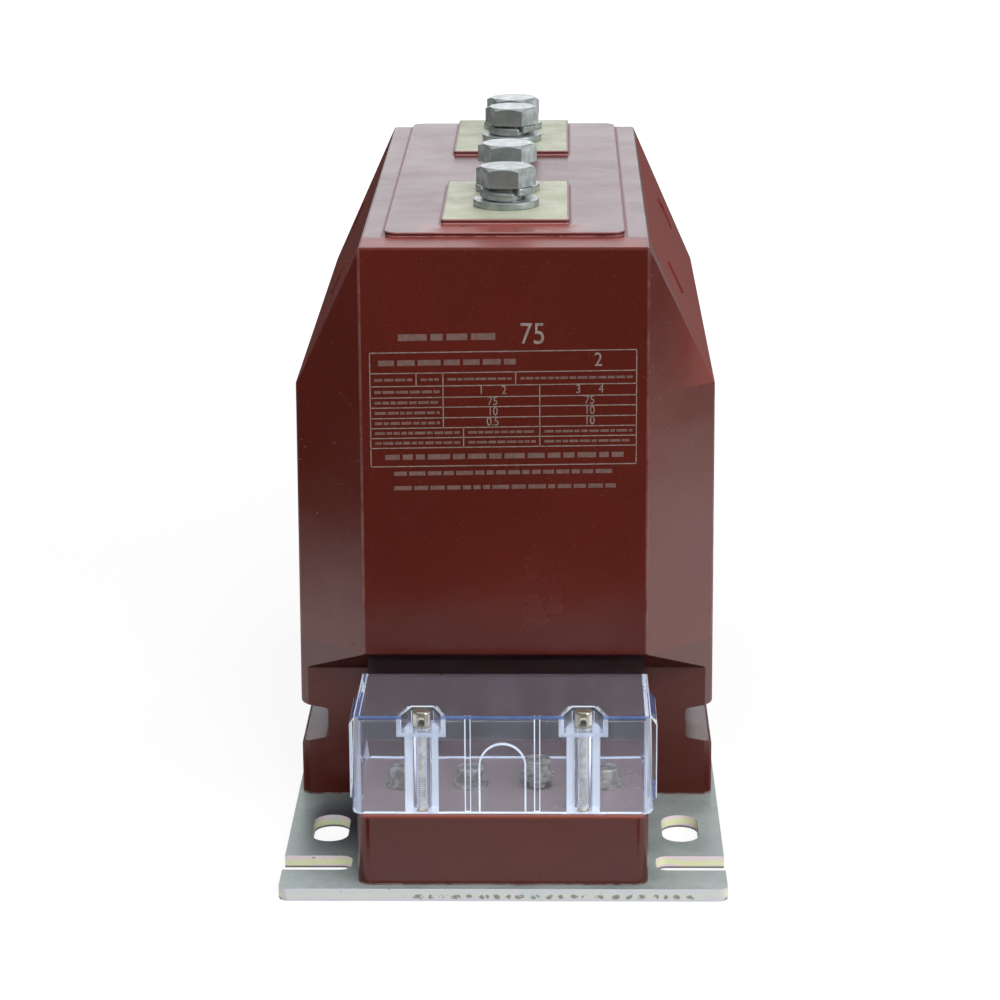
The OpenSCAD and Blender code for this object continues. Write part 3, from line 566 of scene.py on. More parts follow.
def dull_zinc(tree, shader):
    cloud = span(tree, noise(tree, 300, detail=4), 0.35, 0.7)
    fill(
        tree, shader, Base_Color=blend(tree, cloud, srgb(122, 119, 110), srgb(188, 184, 174)),
        Metallic=0.5, Roughness=span(tree, cloud, 0, 1, 0.5, 0.32),
        Normal=bump(tree, noise(tree, 1400, detail=3, seed=3), 0.03 * MM),
    )


bolt_finish = finish_material("bolt_zinc", bright_zinc)
screw_finish = finish_material("screw_zinc", dull_zinc)
print("made", bolt_finish.name, "and", screw_finish.name)

# %% [markdown]
# ## Tin, brass, copper and core steel
# The terminals have a matt, slightly yellow tin coat, brushed along their length, with a few
# stains. A seal screw has a plain shank under a polished head. Brass, copper and core steel are
# inside, and they get a plain metal with soft clouds, because a cut model shows them.

# %% The other metals
SEAL_HEAD_Z = 57 * MM


def tin_plating(tree, shader):
    cloud = span(tree, noise(tree, 60, detail=5, rough=0.65), 0.3, 0.7)
    colour = blend(tree, cloud, srgb(186, 189, 164), srgb(204, 207, 187))
    brushed = noise(tree, 1200, detail=2, stretch=(1, 0.06, 1), seed=5)
    colour = blend(tree, span(tree, brushed, 0.4, 0.7, 0, 0.3), colour, srgb(194, 196, 175))
    stain = span(tree, noise(tree, 420, detail=3, seed=41), 0.70, 0.74, 0, 0.7)
    fill(
        tree, shader, Base_Color=blend(tree, stain, colour, srgb(120, 112, 100)), Metallic=0.25,
        Roughness=span(tree, cloud, 0, 1, 0.58, 0.46), Normal=bump(tree, brushed, 0.02 * MM),
    )


def seal_metal(tree, shader):
    head = span(tree, axes(tree, place(tree))[2], SEAL_HEAD_Z - 0.5 * MM, SEAL_HEAD_Z + 0.5 * MM)
    cloud = span(tree, noise(tree, 500, detail=4), 0.3, 0.7)
    colour = blend(tree, cloud, srgb(186, 184, 172), srgb(232, 228, 220))
    colour = blend(tree, product(tree, head, 0.6), colour, srgb(206, 200, 180))
    fill(
        tree, shader, Base_Color=colour, Metallic=span(tree, head, 0, 1, 0.3, 0.8),
        Roughness=span(tree, head, 0, 1, 0.3, 0.16),
    )


def metal(dark, light, rough, scale=200, metallic=0.9):
    """A plain metal with soft clouds between two colours."""
    def build(tree, shader):
        cloud = span(tree, noise(tree, scale, detail=4), 0.3, 0.7)
        fill(
            tree, shader, Base_Color=blend(tree, cloud, srgb(*dark), srgb(*light)),
            Metallic=metallic, Roughness=span(tree, cloud, 0, 1, rough + 0.1, rough),
        )
    return build


tin_finish = finish_material("tin_plating", tin_plating)
seal_finish = finish_material("seal_metal", seal_metal)
brass_finish = finish_material("brass", metal((176, 138, 66), (208, 172, 98), 0.3))
# A darker copy of the brass, as a painted shade on the small screws' inserts, where one shows under
# the loose screw.
shaded_brass_finish = finish_material("shaded_brass", metal((70, 58, 40), (104, 86, 56), 0.45))
copper_finish = finish_material("copper", metal((150, 78, 44), (196, 112, 70), 0.32))
core_finish = finish_material("core_steel", metal((92, 96, 100), (126, 130, 134), 0.4))
# The seal screws' threads get a darker, duller metal than the shanks above them.
dark_thread_finish = finish_material(
    "dark_thread", metal((96, 96, 88), (140, 138, 128), 0.4, scale=500, metallic=0.5)
)
print(len(bpy.data.materials), "materials so far")

# %% [markdown]
# ## Clear polycarbonate
# A moulded cover is real glass to the renderer: light bends at every wall, and the walls' edges
# collect it. It needs five kinds of the same plastic, from clear walls to milky edges, because a
# real edge scatters light that a perfect one lets through. The milky edges are also painted
# highlights, near white and little clear, and the blue rims are painted light for the light piped
# along them. Faint blue tints give the cool edges of the photograph, and a noise in the roughness
# gives the handling scratches.

# %% The cover's plastics
PLASTICS = {
    "clear_cover": ((232, 236, 246), (240, 243, 250), 0.97, 0.0),
    # Painted highlight: near white and little clear, for the light that real edges collect.
    "milky_lit_edge": ((228, 238, 252), (242, 248, 255), 0.12, 0.15),
    "misty_corner": ((212, 222, 242), (228, 235, 250), 0.7, 0.08),
    # Painted light: blue and half clear, for the light piped along the rims.
    "blue_lit_rim": ((96, 122, 186), (122, 146, 204), 0.55, 0.05),
    "frosted_frame": ((206, 220, 246), (222, 232, 252), 0.4, 0.12),
}
CLEAR, MILKY_LIT, MISTY, BLUE_LIT, FROSTED = range(len(PLASTICS))
LAMP_TINT = (0.93, 0.94, 0.96, 1)


def let_lamps_through(tree, shader):
    """Lamps shine through the plastic, as they do on the real one, instead of being shadowed."""
    in_shadow = add(tree, "LightPath").outputs["Is Shadow Ray"]
    window = add(tree, "BsdfTransparent", Color=LAMP_TINT)
    either = add(tree, "MixShader", Fac=in_shadow, _1=shader.outputs[0], _2=window.outputs[0])
    fill(tree, tree.nodes["Material Output"], Surface=either.outputs[0])


def plastic(dark, light, clear, rough):
    """Plastic between two tints, with a share of clearness, a roughness and some scratches."""
    def build(tree, shader):
        scratch = noise(tree, 220, detail=5, rough=0.75, stretch=(1, 1, 0.25), seed=2)
        fill(
            tree, shader, Transmission_Weight=clear, IOR=1.45,
            Base_Color=blend(tree, span(tree, scratch, 0.35, 0.7), srgb(*dark), srgb(*light)),
            Roughness=span(tree, scratch, 0.6, 0.8, rough, rough + 0.03),
        )
        let_lamps_through(tree, shader)
    return build


cover_finishes = [finish_material(name, plastic(*looks)) for name, looks in PLASTICS.items()]
print("the cover's plastics:", [finish.name for finish in cover_finishes])

# %% [markdown]
# ## Dressing the frame's pieces
# A frame node is a heap of loose triangles. For each piece that shows, a copy is made, its doubles
# are merged, flat triangles are dissolved into whole faces, and a narrow bevel rounds the edges
# that would otherwise be knife sharp. Weighted normals then keep the large faces flat in the
# light, so that only the bevels bend it. The copy stands for the node.

# %% Dress a copy of a node
def only(piece):
    """Selects one object and makes it active."""
    bpy.ops.object.select_all(action="DESELECT")
    piece.select_set(True)
    bpy.context.view_layer.objects.active = piece


def merged_copy(node):
    """A copy of a frame node with its own mesh, merged and with whole faces."""
    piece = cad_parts[node].copy()
    piece.data = piece.data.copy()
    piece.name = node + "_dressed"
    for key in list(piece.keys()):
        del piece[key]
    piece.parent = None
    scene.collection.objects.link(piece)
    only(piece)
    bpy.ops.mesh.customdata_custom_splitnormals_clear()
    bpy.ops.object.mode_set(mode="EDIT")
    bpy.ops.mesh.select_all(action="SELECT")
    bpy.ops.mesh.remove_doubles(threshold=0.000005)
    bpy.ops.mesh.dissolve_limited(angle_limit=math.radians(0.3))
    bpy.ops.object.mode_set(mode="OBJECT")
    piece.data.materials.clear()
    return piece


def soften(piece, width, steps=2, angle=35.0, clamp=True):
    """Bevels every edge sharper than the angle, and shades the piece smooth with flat faces."""
    if width:
        edge = piece.modifiers.new("soft_edges", "BEVEL")
        edge.width = width * MM
        edge.segments = steps
        edge.limit_method = "ANGLE"
        edge.angle_limit = math.radians(angle)
        edge.miter_outer = "MITER_ARC"
        edge.use_clamp_overlap = clamp
    only(piece)
    if width:
        bpy.ops.object.modifier_apply(modifier="soft_edges")
    bpy.ops.object.shade_smooth_by_angle(angle=math.radians(angle))
    piece.modifiers.new("flat_faces", "WEIGHTED_NORMAL").keep_sharp = True
    bpy.ops.object.modifier_apply(modifier="flat_faces")


def stand_in(piece, node):
    """Lets the piece stand for its node and ride with the part."""
    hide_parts(node)
    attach(piece, "root")


def dress(node, material, bevel=0.0, angle=35.0, steps=2, clamp=True):
    """A finished copy of a frame node."""
    piece = merged_copy(node)
    piece.data.materials.append(material)
    soften(piece, bevel, steps, angle, clamp)
    stand_in(piece, node)
    return piece


dressed = [
    dress("resin_body", epoxy, angle=30),
    dress("base_plate", plate_finish, bevel=0.3),
    dress("primary_terminal_1", tin_finish, bevel=0.25),
    dress("primary_terminal_2", tin_finish, bevel=0.25),
    dress("primary_bolts", bolt_finish, bevel=0.22, angle=25),
    dress("primary_flat_washers", bolt_finish, bevel=0.5, steps=3, clamp=False),
    dress(
        "primary_spring_washers", bolt_finish, bevel=0.8, steps=3, angle=40,
        clamp=False,
    ),
    dress("secondary_screws", screw_finish, bevel=0.1),
    dress("secondary_flat_washers", screw_finish, bevel=0.2),
    dress("secondary_spring_washers", screw_finish, bevel=0.15),
    dress("seal_screws", seal_finish, bevel=0.1, angle=30),
]
print(len(dressed), "pieces dressed")

# %% [markdown]
# ## Where the cover is not clear
# A moulded edge is never as clear as a wall. It is a little milky, and it pipes light, so the real
# cover shows pale blue lines and bands: on every rim, down both sides of each screw post, round
# the pockets and along the knock-out's thin line. Here they are painted highlights and painted
# light, in plastic that is near white or blue and little clear. Without them a clear box would
# vanish against the red casting. Picking the faces by hand would be lost with each new frame, so
# they are found by their direction and their place, measured from the cover's own box.

# %% Places and tests on the cover
SEAL_X, SEAL_HALF, BORE_HALF = 27.5 * MM, 8.4 * MM, 3.2 * MM
POST_HALF, POST_L, WALL = 5.75 * MM, 11 * MM, 2 * MM
POCKET_FLOOR_Z, POCKET_L = cover_high.z - 7.3 * MM, 16 * MM
ARCH_HALF, ARCH_TOP = 8.3 * MM, cover_low.z + 25.6 * MM
RIM_L, CORNER_BAND, UPPER_BAND, FRONT_BAND = 2.5 * MM, 8 * MM, 9 * MM, 3 * MM
SLACK, CLOSE, CLOSE_Y = 0.1 * MM, 0.2 * MM, 0.3 * MM


def is_post_rear(face):
    centre = face.calc_center_median()
    return (
        face.normal.y > 0.9 and abs(centre.y - cover_low.y - POST_L) < MM
        and abs(abs(centre.x) - SEAL_X) < POST_HALF and centre.z < POCKET_FLOOR_Z
    )


def is_front(face):
    return face.normal.y < -0.9 and abs(face.calc_center_median().y - cover_low.y) < CLOSE_Y


def is_foot(face):
    return face.normal.z < -0.9 and face.calc_center_median().z < cover_low.z + CLOSE


def is_crisp_edge(edge):
    """An outer edge to be rounded, but not one in a screw's bore or on the knock-out's thin line."""
    if not edge.is_manifold or not edge.is_convex or edge.calc_length() < 2 * MM:
        return False
    if edge.calc_face_angle() < math.radians(30):
        return False
    centre = (edge.verts[0].co + edge.verts[1].co) / 2
    in_bore = abs(abs(centre.x) - SEAL_X) < BORE_HALF and centre.y < cover_low.y + POST_L
    across_arch = abs(centre.x) < ARCH_HALF + CLOSE and centre.y < cover_low.y + WALL + CLOSE
    in_arch = across_arch and cover_low.z + SLACK < centre.z < ARCH_TOP
    return not in_bore and not in_arch


def pocket_slot(normal, from_front):
    """The finish of a face in or round a screw pocket."""
    if from_front < CLOSE_Y and normal.y < -0.9:
        return FROSTED
    if WALL + SLACK < from_front < POCKET_L and abs(normal.z) > 0.5:
        return MISTY
    return MILKY_LIT if 0.2 < abs(normal.x) < 0.9 and from_front < POCKET_L else CLEAR


def cover_slot(face):
    """Which of the five finishes a face of the cover has."""
    centre, normal = face.center, face.normal
    from_front = centre.y - cover_low.y
    beside_seal = abs(abs(centre.x) - SEAL_X)
    if centre.z < cover_low.z + CLOSE:
        return BLUE_LIT if abs(centre.x) > cover_high.x - RIM_L - SLACK else MILKY_LIT
    if abs(centre.x) < ARCH_HALF and centre.z < ARCH_TOP and CLOSE_Y < from_front < WALL - SLACK:
        return MILKY_LIT
    if beside_seal < SEAL_HALF and centre.z > POCKET_FLOOR_Z - SLACK:
        return pocket_slot(normal, from_front)
    if BORE_HALF < beside_seal < POST_HALF + SLACK and abs(from_front - POST_L) < CLOSE_Y:
        return MILKY_LIT
    rounded = from_front < FRONT_BAND and normal.y < -0.2 and normal.z > 0.2
    at_side = abs(centre.x) > cover_high.x - CORNER_BAND and abs(normal.x) > 0.25
    if rounded or (at_side and centre.z > cover_high.z - UPPER_BAND):
        return BLUE_LIT
    return MISTY if at_side and abs(normal.y) > 0.25 else CLEAR


print("cover in mm", [[round(v / MM, 1) for v in corner] for corner in (cover_low, cover_high)])

# %% [markdown]
# ## Cutting and rounding the cover
# Some bands end in the middle of a flat face, so the face is first cut there by bisect. Then every
# face gets its finish, and a bevel with a material of its own rounds the crisp edges, which gives
# the milky lines of painted highlight in the same step. The foot is lifted by a hair, because two
# faces in one place would render as noise.

# %% Dress the cover
SEAT_GAP = 0.06 * MM


def edit_select(piece, faces=None, edges=None):
    """Opens a piece for editing with the faces or edges that pass a test selected."""
    only(piece)
    bpy.ops.object.mode_set(mode="EDIT")
    bpy.ops.mesh.select_all(action="DESELECT")
    bpy.context.tool_settings.mesh_select_mode = (False, edges is not None, faces is not None)
    mesh = bmesh.from_edit_mesh(piece.data)
    chosen = [f for f in mesh.faces if faces(f)] if faces else [e for e in mesh.edges if edges(e)]
    for part in chosen:
        part.select_set(True)
    mesh.select_flush_mode()
    bmesh.update_edit_mesh(piece.data)
    return len(chosen)


cover = merged_copy("terminal_cover")
for vertex in cover.data.vertices:
    if vertex.co.z < cover_low.z + 0.01 * MM:
        vertex.co.z += SEAT_GAP
for finish in cover_finishes:
    cover.data.materials.append(finish)
cuts = []
for chosen, half in ((is_post_rear, BORE_HALF), (is_front, SEAL_HALF)):
    cuts += [(chosen, side * SEAL_X + offset, "x") for side in (-1, 1) for offset in (-half, half)]
cuts += [(is_front, POCKET_FLOOR_Z, "z")]
cuts += [(is_foot, side * (cover_high.x - RIM_L), "x") for side in (-1, 1)]
for chosen, place_at, axis in cuts:
    edit_select(cover, faces=chosen)
    plane_no = (1, 0, 0) if axis == "x" else (0, 0, 1)
    bpy.ops.mesh.bisect(plane_co=[place_at * part for part in plane_no], plane_no=plane_no)
    bpy.ops.object.mode_set(mode="OBJECT")
for face in cover.data.polygons:
    face.material_index = cover_slot(face)
crisp = edit_select(cover, edges=is_crisp_edge)
bpy.ops.mesh.bevel(offset=0.4 * MM, segments=2, affect="EDGES", clamp_overlap=False, material=MILKY_LIT)
bpy.ops.object.mode_set(mode="OBJECT")
soften(cover, 0, angle=30)
stand_in(cover, "terminal_cover")
print("cover:", crisp, "edges rounded,", len(cover.data.polygons), "faces")

# %% [markdown]
# ## The pieces that stay as they are
# What is cast in, or hidden under the plate, is never seen from outside. A softened copy would add
# triangles for nothing, so each of these nodes is kept and only gets its material.

# %% Finish the hidden nodes
HIDDEN = (
    (bolt_finish, ("base_plate_screws",)),
    (brass_finish, ("base_plate_inserts", "seal_screw_inserts")),
    # The small screws' inserts get the darker brass: a painted shade where one shows under the loose
    # screw.
    (shaded_brass_finish, ("secondary_inserts",)),
    (copper_finish, ("primary_winding", "primary_strap_1", "primary_strap_2")),
    (copper_finish, ("metering_winding", "protection_winding", "metering_leads", "protection_leads")),
    (core_finish, ("metering_core", "protection_core")),
)
for material, nodes in HIDDEN:
    for node in nodes:
        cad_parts[node].data.materials.clear()
        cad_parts[node].data.materials.append(material)
print(sum(len(nodes) for _, nodes in HIDDEN), "hidden nodes finished")

# %% [markdown]
# ## Ink on the front face
# The real face carries a printed table. Here it is a plain grid with numbers and short bars, with
# no names. Ink could be part of the epoxy's material, but flat patches a few hundredths of a
# millimetre in front of the resin stay sharp at any size. The whole table rises slightly to the
# right, as a hand-held stencil leaves it.

# %% The printed table
INK_LIFT = 0.04 * MM
LINE = 0.17
PRINT_LEFT, PRINT_RIGHT, PRINT_RISE = -47.0, 46.4, 0.0135
ROWS = (175.6, 168.2, 163.5, 159.4, 155.8, 152.0, 148.4, 144.8, 141.2, 134.5)
COLUMNS = {1: (-30.8, -21.4, 4.1)}
COLUMNS.update({row: (-21.4, 12.5) for row in (2, 3, 4, 5)})
COLUMNS.update({row: (-14.3, 12.5) for row in (6, 7)})


def ink_paint(strength):
    """Grey ink, worn away in small patches."""
    def build(tree, shader):
        worn = span(tree, noise(tree, 700, detail=4, rough=0.7, seed=43), 0.4, 0.6)
        ink = blend(tree, worn, srgb(132, 122, 114), srgb(156, 147, 139))
        colour = blend(tree, strength, srgb(88, 28, 18), ink)
        fill(tree, shader, Base_Color=colour, Roughness=0.5)
    return build


print_ink = finish_material("print_ink", ink_paint(0.85))
faded_ink = finish_material("faded_ink", ink_paint(0.36))


def on_face(x, z):
    """A point of the print, in millimetres on the front face, turned into frame metres."""
    return Vector((x * MM, FRONT_Y - INK_LIFT, (z + PRINT_RISE * (x - PRINT_LEFT)) * MM))


def ink_patches(name, patches, material):
    """Flat ink rectangles, given as left, right, low and high."""
    mesh = bmesh.new()
    for left, right_x, low, high in patches:
        corners = [(left, low), (right_x, low), (right_x, high), (left, high)]
        mesh.faces.new([mesh.verts.new(on_face(*corner)) for corner in corners])
    data = bpy.data.meshes.new(name)
    mesh.to_mesh(data)
    mesh.free()
    piece = bpy.data.objects.new(name, data)
    scene.collection.objects.link(piece)
    data.materials.append(material)
    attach(piece, "root")


def line(x0, z0, x1, z1):
    """A ruled line as a patch."""
    return (x0 - LINE, x1 + LINE, z0 - LINE, z1 + LINE)


ruled = [line(PRINT_LEFT, z, PRINT_RIGHT, z) for z in ROWS]
ruled += [line(x, ROWS[-1], x, ROWS[0]) for x in (PRINT_LEFT, PRINT_RIGHT)]
for row, columns in COLUMNS.items():
    ruled += [line(x, ROWS[row + 1], x, ROWS[row]) for x in columns]
ink_patches("printed_table", ruled, print_ink)
print(len(ruled), "ruled lines")

# %% Short bars in place of words
SHORTEST, LONGEST, GAP = 1.6, 4.2, 0.55
HEADING = (-44, 6, 171.9, 2.0)
LOOSE_LINES = (
    (-42, 42, 137.9, 1.9), (-39, 40, 131.9, 1.5), (-39, 40, 126.6, 1.5), (-37, -2, 181.0, 2.4),
)
FIRST_COLUMN_HEIGHT, COLUMN_HEIGHT = 1.0, 0.9
dice = random.Random(11)


def words(left, right_x, middle, height):
    """A run of short bars, as long as words of this height would be."""
    bars, x = [], left
    while x < right_x - height:
        end = min(x + height * dice.uniform(SHORTEST, LONGEST), right_x)
        bars.append((x, end, middle - height / 2, middle + height / 2))
        x = end + height * GAP
    return bars


bars = words(*HEADING)
for row in range(1, 8):
    middle = (ROWS[row] + ROWS[row + 1]) / 2
    edges = (PRINT_LEFT, *COLUMNS[row], PRINT_RIGHT)
    bars += words(edges[0] + 1.5, edges[1] - 1.2, middle, FIRST_COLUMN_HEIGHT)
    if row in (1, 6, 7):
        for left, right_x in zip(edges[1:], edges[2:]):
            bars += words(left + 1.6, right_x - 1.4, middle, COLUMN_HEIGHT)
for loose in LOOSE_LINES:
    bars += words(*loose)
ink_patches("printed_bars", bars, faded_ink)
print(len(bars), "bars")

# %% The printed numbers
SMALL_FIGURE, FIGURE_SCALE, FIGURE_NARROW = 3.2, 1.35, 0.85
SMALL_ROWS = {
    161.6: (("1", -8), ("2", 0), ("3", 26), ("4", 34)),
    157.7: (("75", -4), ("75", 30)),
    154.0: (("10", -4), ("10", 30)),
    150.3: (("0.5", -4), ("10", 30)),
}
NUMBERS = [("75", 10, 181.4, 8.0), ("2", 33, 172.0, 5.2)]
NUMBERS += [(body, x, z, SMALL_FIGURE) for z, row in SMALL_ROWS.items() for body, x in row]


def flat_text(name, body, height, depth=0.0):
    """Figures as a mesh, centred on the origin."""
    bpy.ops.object.select_all(action="DESELECT")
    bpy.ops.object.text_add()
    piece = bpy.context.active_object
    piece.name = name
    piece.data.body = body
    piece.data.size = height * MM
    piece.data.extrude = depth * MM
    piece.data.align_x = "CENTER"
    piece.data.align_y = "CENTER"
    bpy.ops.object.convert(target="MESH")
    return bpy.context.active_object


def settle(piece, material):
    """Applies a piece's place, gives it its material and lets it ride with the part."""
    only(piece)
    bpy.ops.object.transform_apply(location=True, rotation=True, scale=True)
    piece.data.materials.clear()
    piece.data.materials.append(material)
    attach(piece, "root")


figures = []
for index, (body, x, z, height) in enumerate(NUMBERS):
    figure = flat_text("figure_%d" % index, body, height * FIGURE_SCALE)
    figure.rotation_euler = (math.pi / 2, 0, 0)
    figure.scale = (FIGURE_NARROW, 1, 1)
    figure.location = on_face(x, z)
    figures.append(figure)
bpy.ops.object.select_all(action="DESELECT")
for figure in figures:
    figure.select_set(True)
bpy.context.view_layer.objects.active = figures[0]
bpy.ops.object.join()
figures[0].name = "printed_numbers"
settle(figures[0], print_ink)
print(len(NUMBERS), "printed numbers")

# %% [markdown]
# ## Raised numbers on the flanks
# Each sloping flank carries the numbers 1 and 2 beside the terminals, raised out of the mould. Text
# is made flat and thick, and a matrix of three axes turns it into the plane of the flank, because
# two angles in a row are easy to get wrong. From the front only its shaded edges show.

# %% Raised numbers
NUMERAL_Z, NUMERAL_HEIGHT, NUMERAL_RAISE = 187.5 * MM, 19.0, 0.7
NUMERAL_YS = {"1": -35 * MM, "2": 97 * MM}
slope_out = Vector((BODY_TOP - RIDGE_Z, 0, RIDGE_HALF - FACE_HALF)).normalized()
along_slope = (RIDGE_HALF - FACE_HALF) / (BODY_TOP - RIDGE_Z)
numerals = []
for side in (-1, 1):
    for body, at_y in NUMERAL_YS.items():
        numeral = flat_text("numeral_" + body, body, NUMERAL_HEIGHT, NUMERAL_RAISE)
        outward = Vector((side * slope_out.x, 0, slope_out.z))
        reading = Vector((0, side, 0))
        upward = outward.cross(reading)
        at_x = side * (RIDGE_HALF - (NUMERAL_Z - RIDGE_Z) * along_slope)
        turned = Matrix((reading, upward, outward)).transposed().to_4x4()
        numeral.matrix_world = Matrix.Translation((at_x, at_y, NUMERAL_Z)) @ turned
        settle(numeral, epoxy)
        numeral.name = "flank_numeral_%s_%s" % (body, "right" if side > 0 else "left")
        numerals.append(numeral)
print([numeral.name for numeral in numerals])

# %% [markdown]
# ## Threads
# The frame's screws are plain cylinders. Where a shank shows, a real helix is turned around it by
# the screw modifier: a tooth outline swept round the axis, rising one pitch each turn. A picture of
# a thread would look flat, and the loose bolt, the loose screw and both seal screws show theirs.

# %% Turn the threads
TOOTH_DEPTH, CREST_LIFT, CREST_START, CREST_END = 0.55, 0.06, 0.44, 0.56
SEAL_Y, LOOSE_BOLT_AT, LOOSE_SCREW_AT = -167, (0, -9.7), (11.65, -143.5)


def thread(name, at, low, high, radius, pitch, material):
    """A helical tooth round a vertical axis, from one height to another, in millimetres."""
    root, crest = (radius - TOOTH_DEPTH * pitch) * MM, (radius + CREST_LIFT) * MM
    outline = [
        (root, 0, 0), (crest, 0, pitch * CREST_START * MM), (crest, 0, pitch * CREST_END * MM),
        (root, 0, pitch * MM),
    ]
    mesh = bpy.data.meshes.new(name)
    mesh.from_pydata(outline, [(0, 1), (1, 2), (2, 3)], [])
    piece = bpy.data.objects.new(name, mesh)
    scene.collection.objects.link(piece)
    piece.location = (at[0] * MM, at[1] * MM, low * MM)
    helix = piece.modifiers.new("helix", "SCREW")
    helix.axis = "Z"
    helix.screw_offset = pitch * MM
    helix.iterations = max(1, round((high - low) / pitch))
    helix.steps = helix.render_steps = 32
    only(piece)
    bpy.ops.object.modifier_apply(modifier="helix")
    settle(piece, material)
    bpy.ops.object.shade_smooth_by_angle(angle=math.radians(40))
    return piece


seal_threads = {"seal_thread_left": -SEAL_X / MM, "seal_thread_right": SEAL_X / MM}
threads = [
    thread(name, (x, SEAL_Y), 31.0, 41.5, 2, 0.7, dark_thread_finish)
    for name, x in seal_threads.items()
]
threads += [
    thread("bolt_thread", LOOSE_BOLT_AT, 222.2, 227.4, 6, 1.75, bolt_finish),
    thread("screw_thread", LOOSE_SCREW_AT, 32.6, 36.6, 3, 1.0, screw_finish),
]
print([piece.name for piece in threads])

# %% [markdown]
# ## The studio
# The part stands on a pale floor in a light tent, and the camera sees both as plain white. A white
# room would turn every glossy face pale, so rays that come off a mirror see another studio: a dim
# one, with a few bright patches that are placed where the photograph shows reflections. Light Path
# tells the shaders which kind of ray is asking. Rays through the clear cover see the white room.

# %% Floor
FLOOR_Z = -0.2 * MM
DIM = 0.06
WHITE = (1, 1, 1, 1)
bpy.ops.mesh.primitive_plane_add(size=8, location=(0, 1.5, FLOOR_Z))
floor = bpy.context.active_object
floor.name = "studio_floor"
bpy.ops.object.transform_apply(location=True)


def asking_rays(tree):
    """1 for rays that see the white room, and 1 for rays that come off a mirror."""
    path = add(tree, "LightPath")
    directly = most(tree, path.outputs["Is Camera Ray"], path.outputs["Is Transmission Ray"])
    mirrored = maths(tree, "MINIMUM", path.outputs["Glossy Depth"], 1.0)
    return directly, mirrored


def mirrored_floor(tree, x, y):
    """How bright the floor is in a mirror: patches beside, before and behind the part."""
    beside = unsigned(tree, x)
    times_bent = add(tree, "LightPath").outputs["Transmission Depth"]
    unbent = inverse(tree, maths(tree, "MINIMUM", times_bent, 1.0))
    alongside = product(tree, span(tree, y, -0.35, -0.2), span(tree, y, 0.45, 0.25))
    behind = product(tree, span(tree, y, 0.2, 0.4), span(tree, y, 1.6, 1.2))
    patches = [
        product(tree, span(tree, x, 0.12, 0.17), span(tree, x, 0.72, 0.60, 0.25, 2.0), alongside),
        product(tree, span(tree, x, -0.12, -0.17), span(tree, x, -0.42, -0.35), alongside, 1.45),
        product(
            tree, span(tree, y, -0.315, -0.265), span(tree, y, -0.1, -0.16),
            span(tree, beside, 0.40, 0.26), unbent,
        ),
        product(tree, span(tree, x, 0.1, 0.3), span(tree, y, 0.3, 0.8), 0.22),
        product(tree, behind, span(tree, x, 0.45, 0.7)),
        product(tree, behind, span(tree, x, -0.45, -0.7), 0.3),
    ]
    return maths(tree, "ADD", most(tree, *patches), DIM)


def floor_paint(tree, shader):
    x, y, _ = axes(tree, place(tree))
    directly, mirrored = asking_rays(tree)
    pale = blend(tree, directly, (0.3, 0.3, 0.3), (0.8, 0.8, 0.8))
    fill(tree, shader, Base_Color=pale, Roughness=0.9, Specular_IOR_Level=0.1)
    far = most(tree, span(tree, y, 0.3, 1.2), span(tree, unsigned(tree, x), 0.3, 1.0))
    glow = add(tree, "Emission", Color=WHITE, Strength=span(tree, far, 0, 1, 1.08, 1.4))
    mirror = add(tree, "Emission", Color=WHITE, Strength=mirrored_floor(tree, x, y))
    seen = add(tree, "MixShader", Fac=0.8, _1=shader.outputs[0], _2=glow.outputs[0])
    plain = add(tree, "MixShader", Fac=directly, _1=shader.outputs[0], _2=seen.outputs[0])
    whole = add(tree, "MixShader", Fac=mirrored, _1=plain.outputs[0], _2=mirror.outputs[0])
    fill(tree, tree.nodes["Material Output"], Surface=whole.outputs[0])


floor.data.materials.append(finish_material("studio_floor", floor_paint))
print("floor:", len(floor.active_material.node_tree.nodes), "nodes")

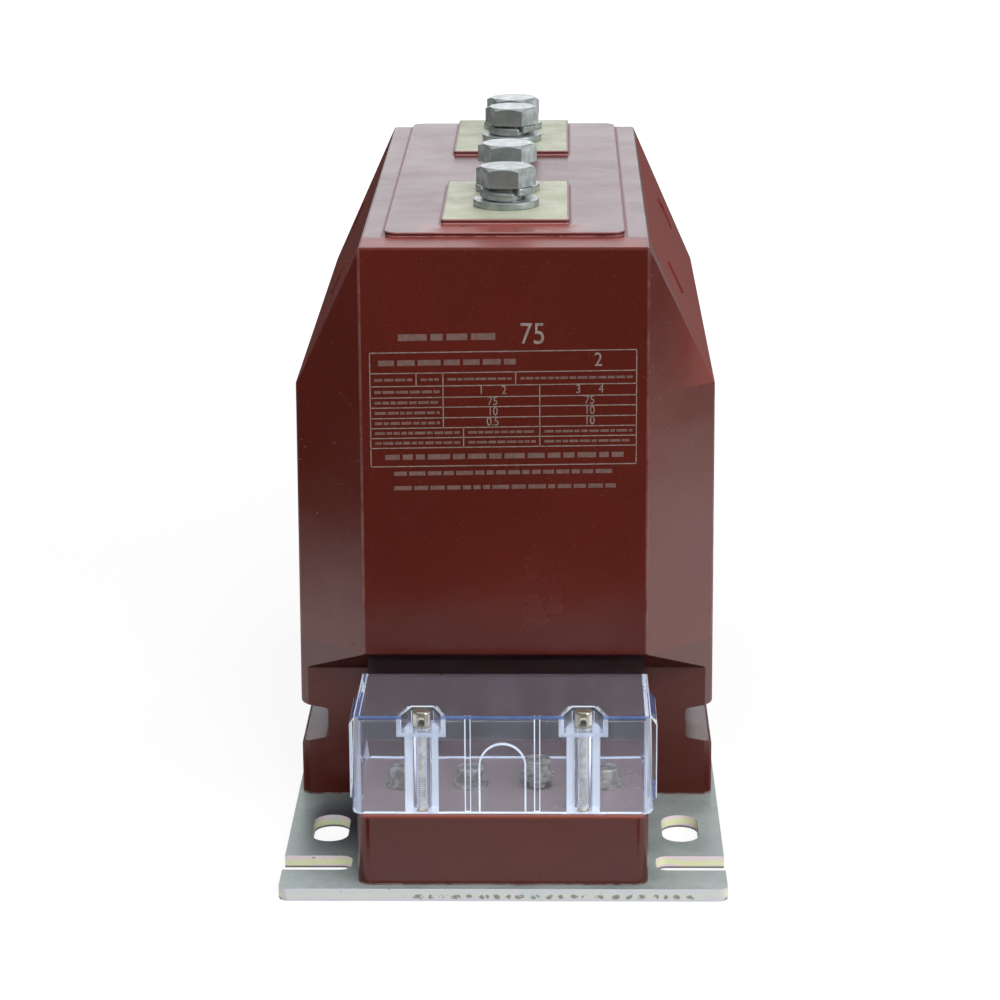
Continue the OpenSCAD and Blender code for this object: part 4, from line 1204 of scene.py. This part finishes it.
# %% World
world = bpy.data.worlds.new("light_tent")
scene.world = world
world.use_nodes = True
sky = world.node_tree
sky.nodes.clear()
to_right, to_rear, to_top = axes(sky, add(sky, "TexCoord").outputs["Generated"])
directly, mirrored = asking_rays(sky)
behind = product(
    sky, span(sky, to_rear, 0.35, 0.75), span(sky, to_top, 0.75, 0.45),
    span(sky, unsigned(sky, to_right), 0.3, 0.14), 1.25,
)
overhead = span(sky, to_top, 0.7, 0.9, 0, 0.5)
right_wall = product(sky, span(sky, to_right, 0.5, 0.8), span(sky, to_top, 0.7, 0.3), 0.5)
tent = gather(sky, "ADD", (behind, most(sky, overhead, right_wall), DIM))
lit = add(sky, "Background", Color=(0.98, 0.99, 1.04, 1), Strength=tent)
soft = add(sky, "Background", Color=WHITE, Strength=0.3)
white = add(sky, "Background", Color=WHITE, Strength=1.0)
plain = add(sky, "MixShader", Fac=directly, _1=soft.outputs[0], _2=white.outputs[0])
shown = add(sky, "MixShader", Fac=mirrored, _1=plain.outputs[0], _2=lit.outputs[0])
add(sky, "OutputWorld", Surface=shown.outputs[0])
print(len(sky.nodes), "nodes in the tent")

# %% Softboxes
CENTRE = Vector((0, 0, 0.11))


def softbox(name, at, width, watts, mirrored):
    """A square area lamp that faces the part. An unmirrored one adds light but no highlight."""
    lamp = bpy.data.lights.new(name, "AREA")
    lamp.shape = "SQUARE"
    lamp.size = width
    lamp.energy = watts
    holder = bpy.data.objects.new(name, lamp)
    scene.collection.objects.link(holder)
    holder.location = at
    holder.rotation_euler = (CENTRE - Vector(at)).to_track_quat("-Z", "Y").to_euler()
    holder.visible_glossy = mirrored


softbox("softbox_front", (0.25, -1.6, 1.1), 0.8, 16, False)
softbox("softbox_right", (1.2, -0.7, 0.9), 0.9, 9, True)
softbox("softbox_left", (-1.2, -0.7, 0.9), 0.9, 2, False)
softbox("softbox_top", (0, 0.1, 1.5), 1.2, 9, False)
scene.view_settings.view_transform = "Standard"
print("softboxes", [light.name for light in bpy.data.lights])
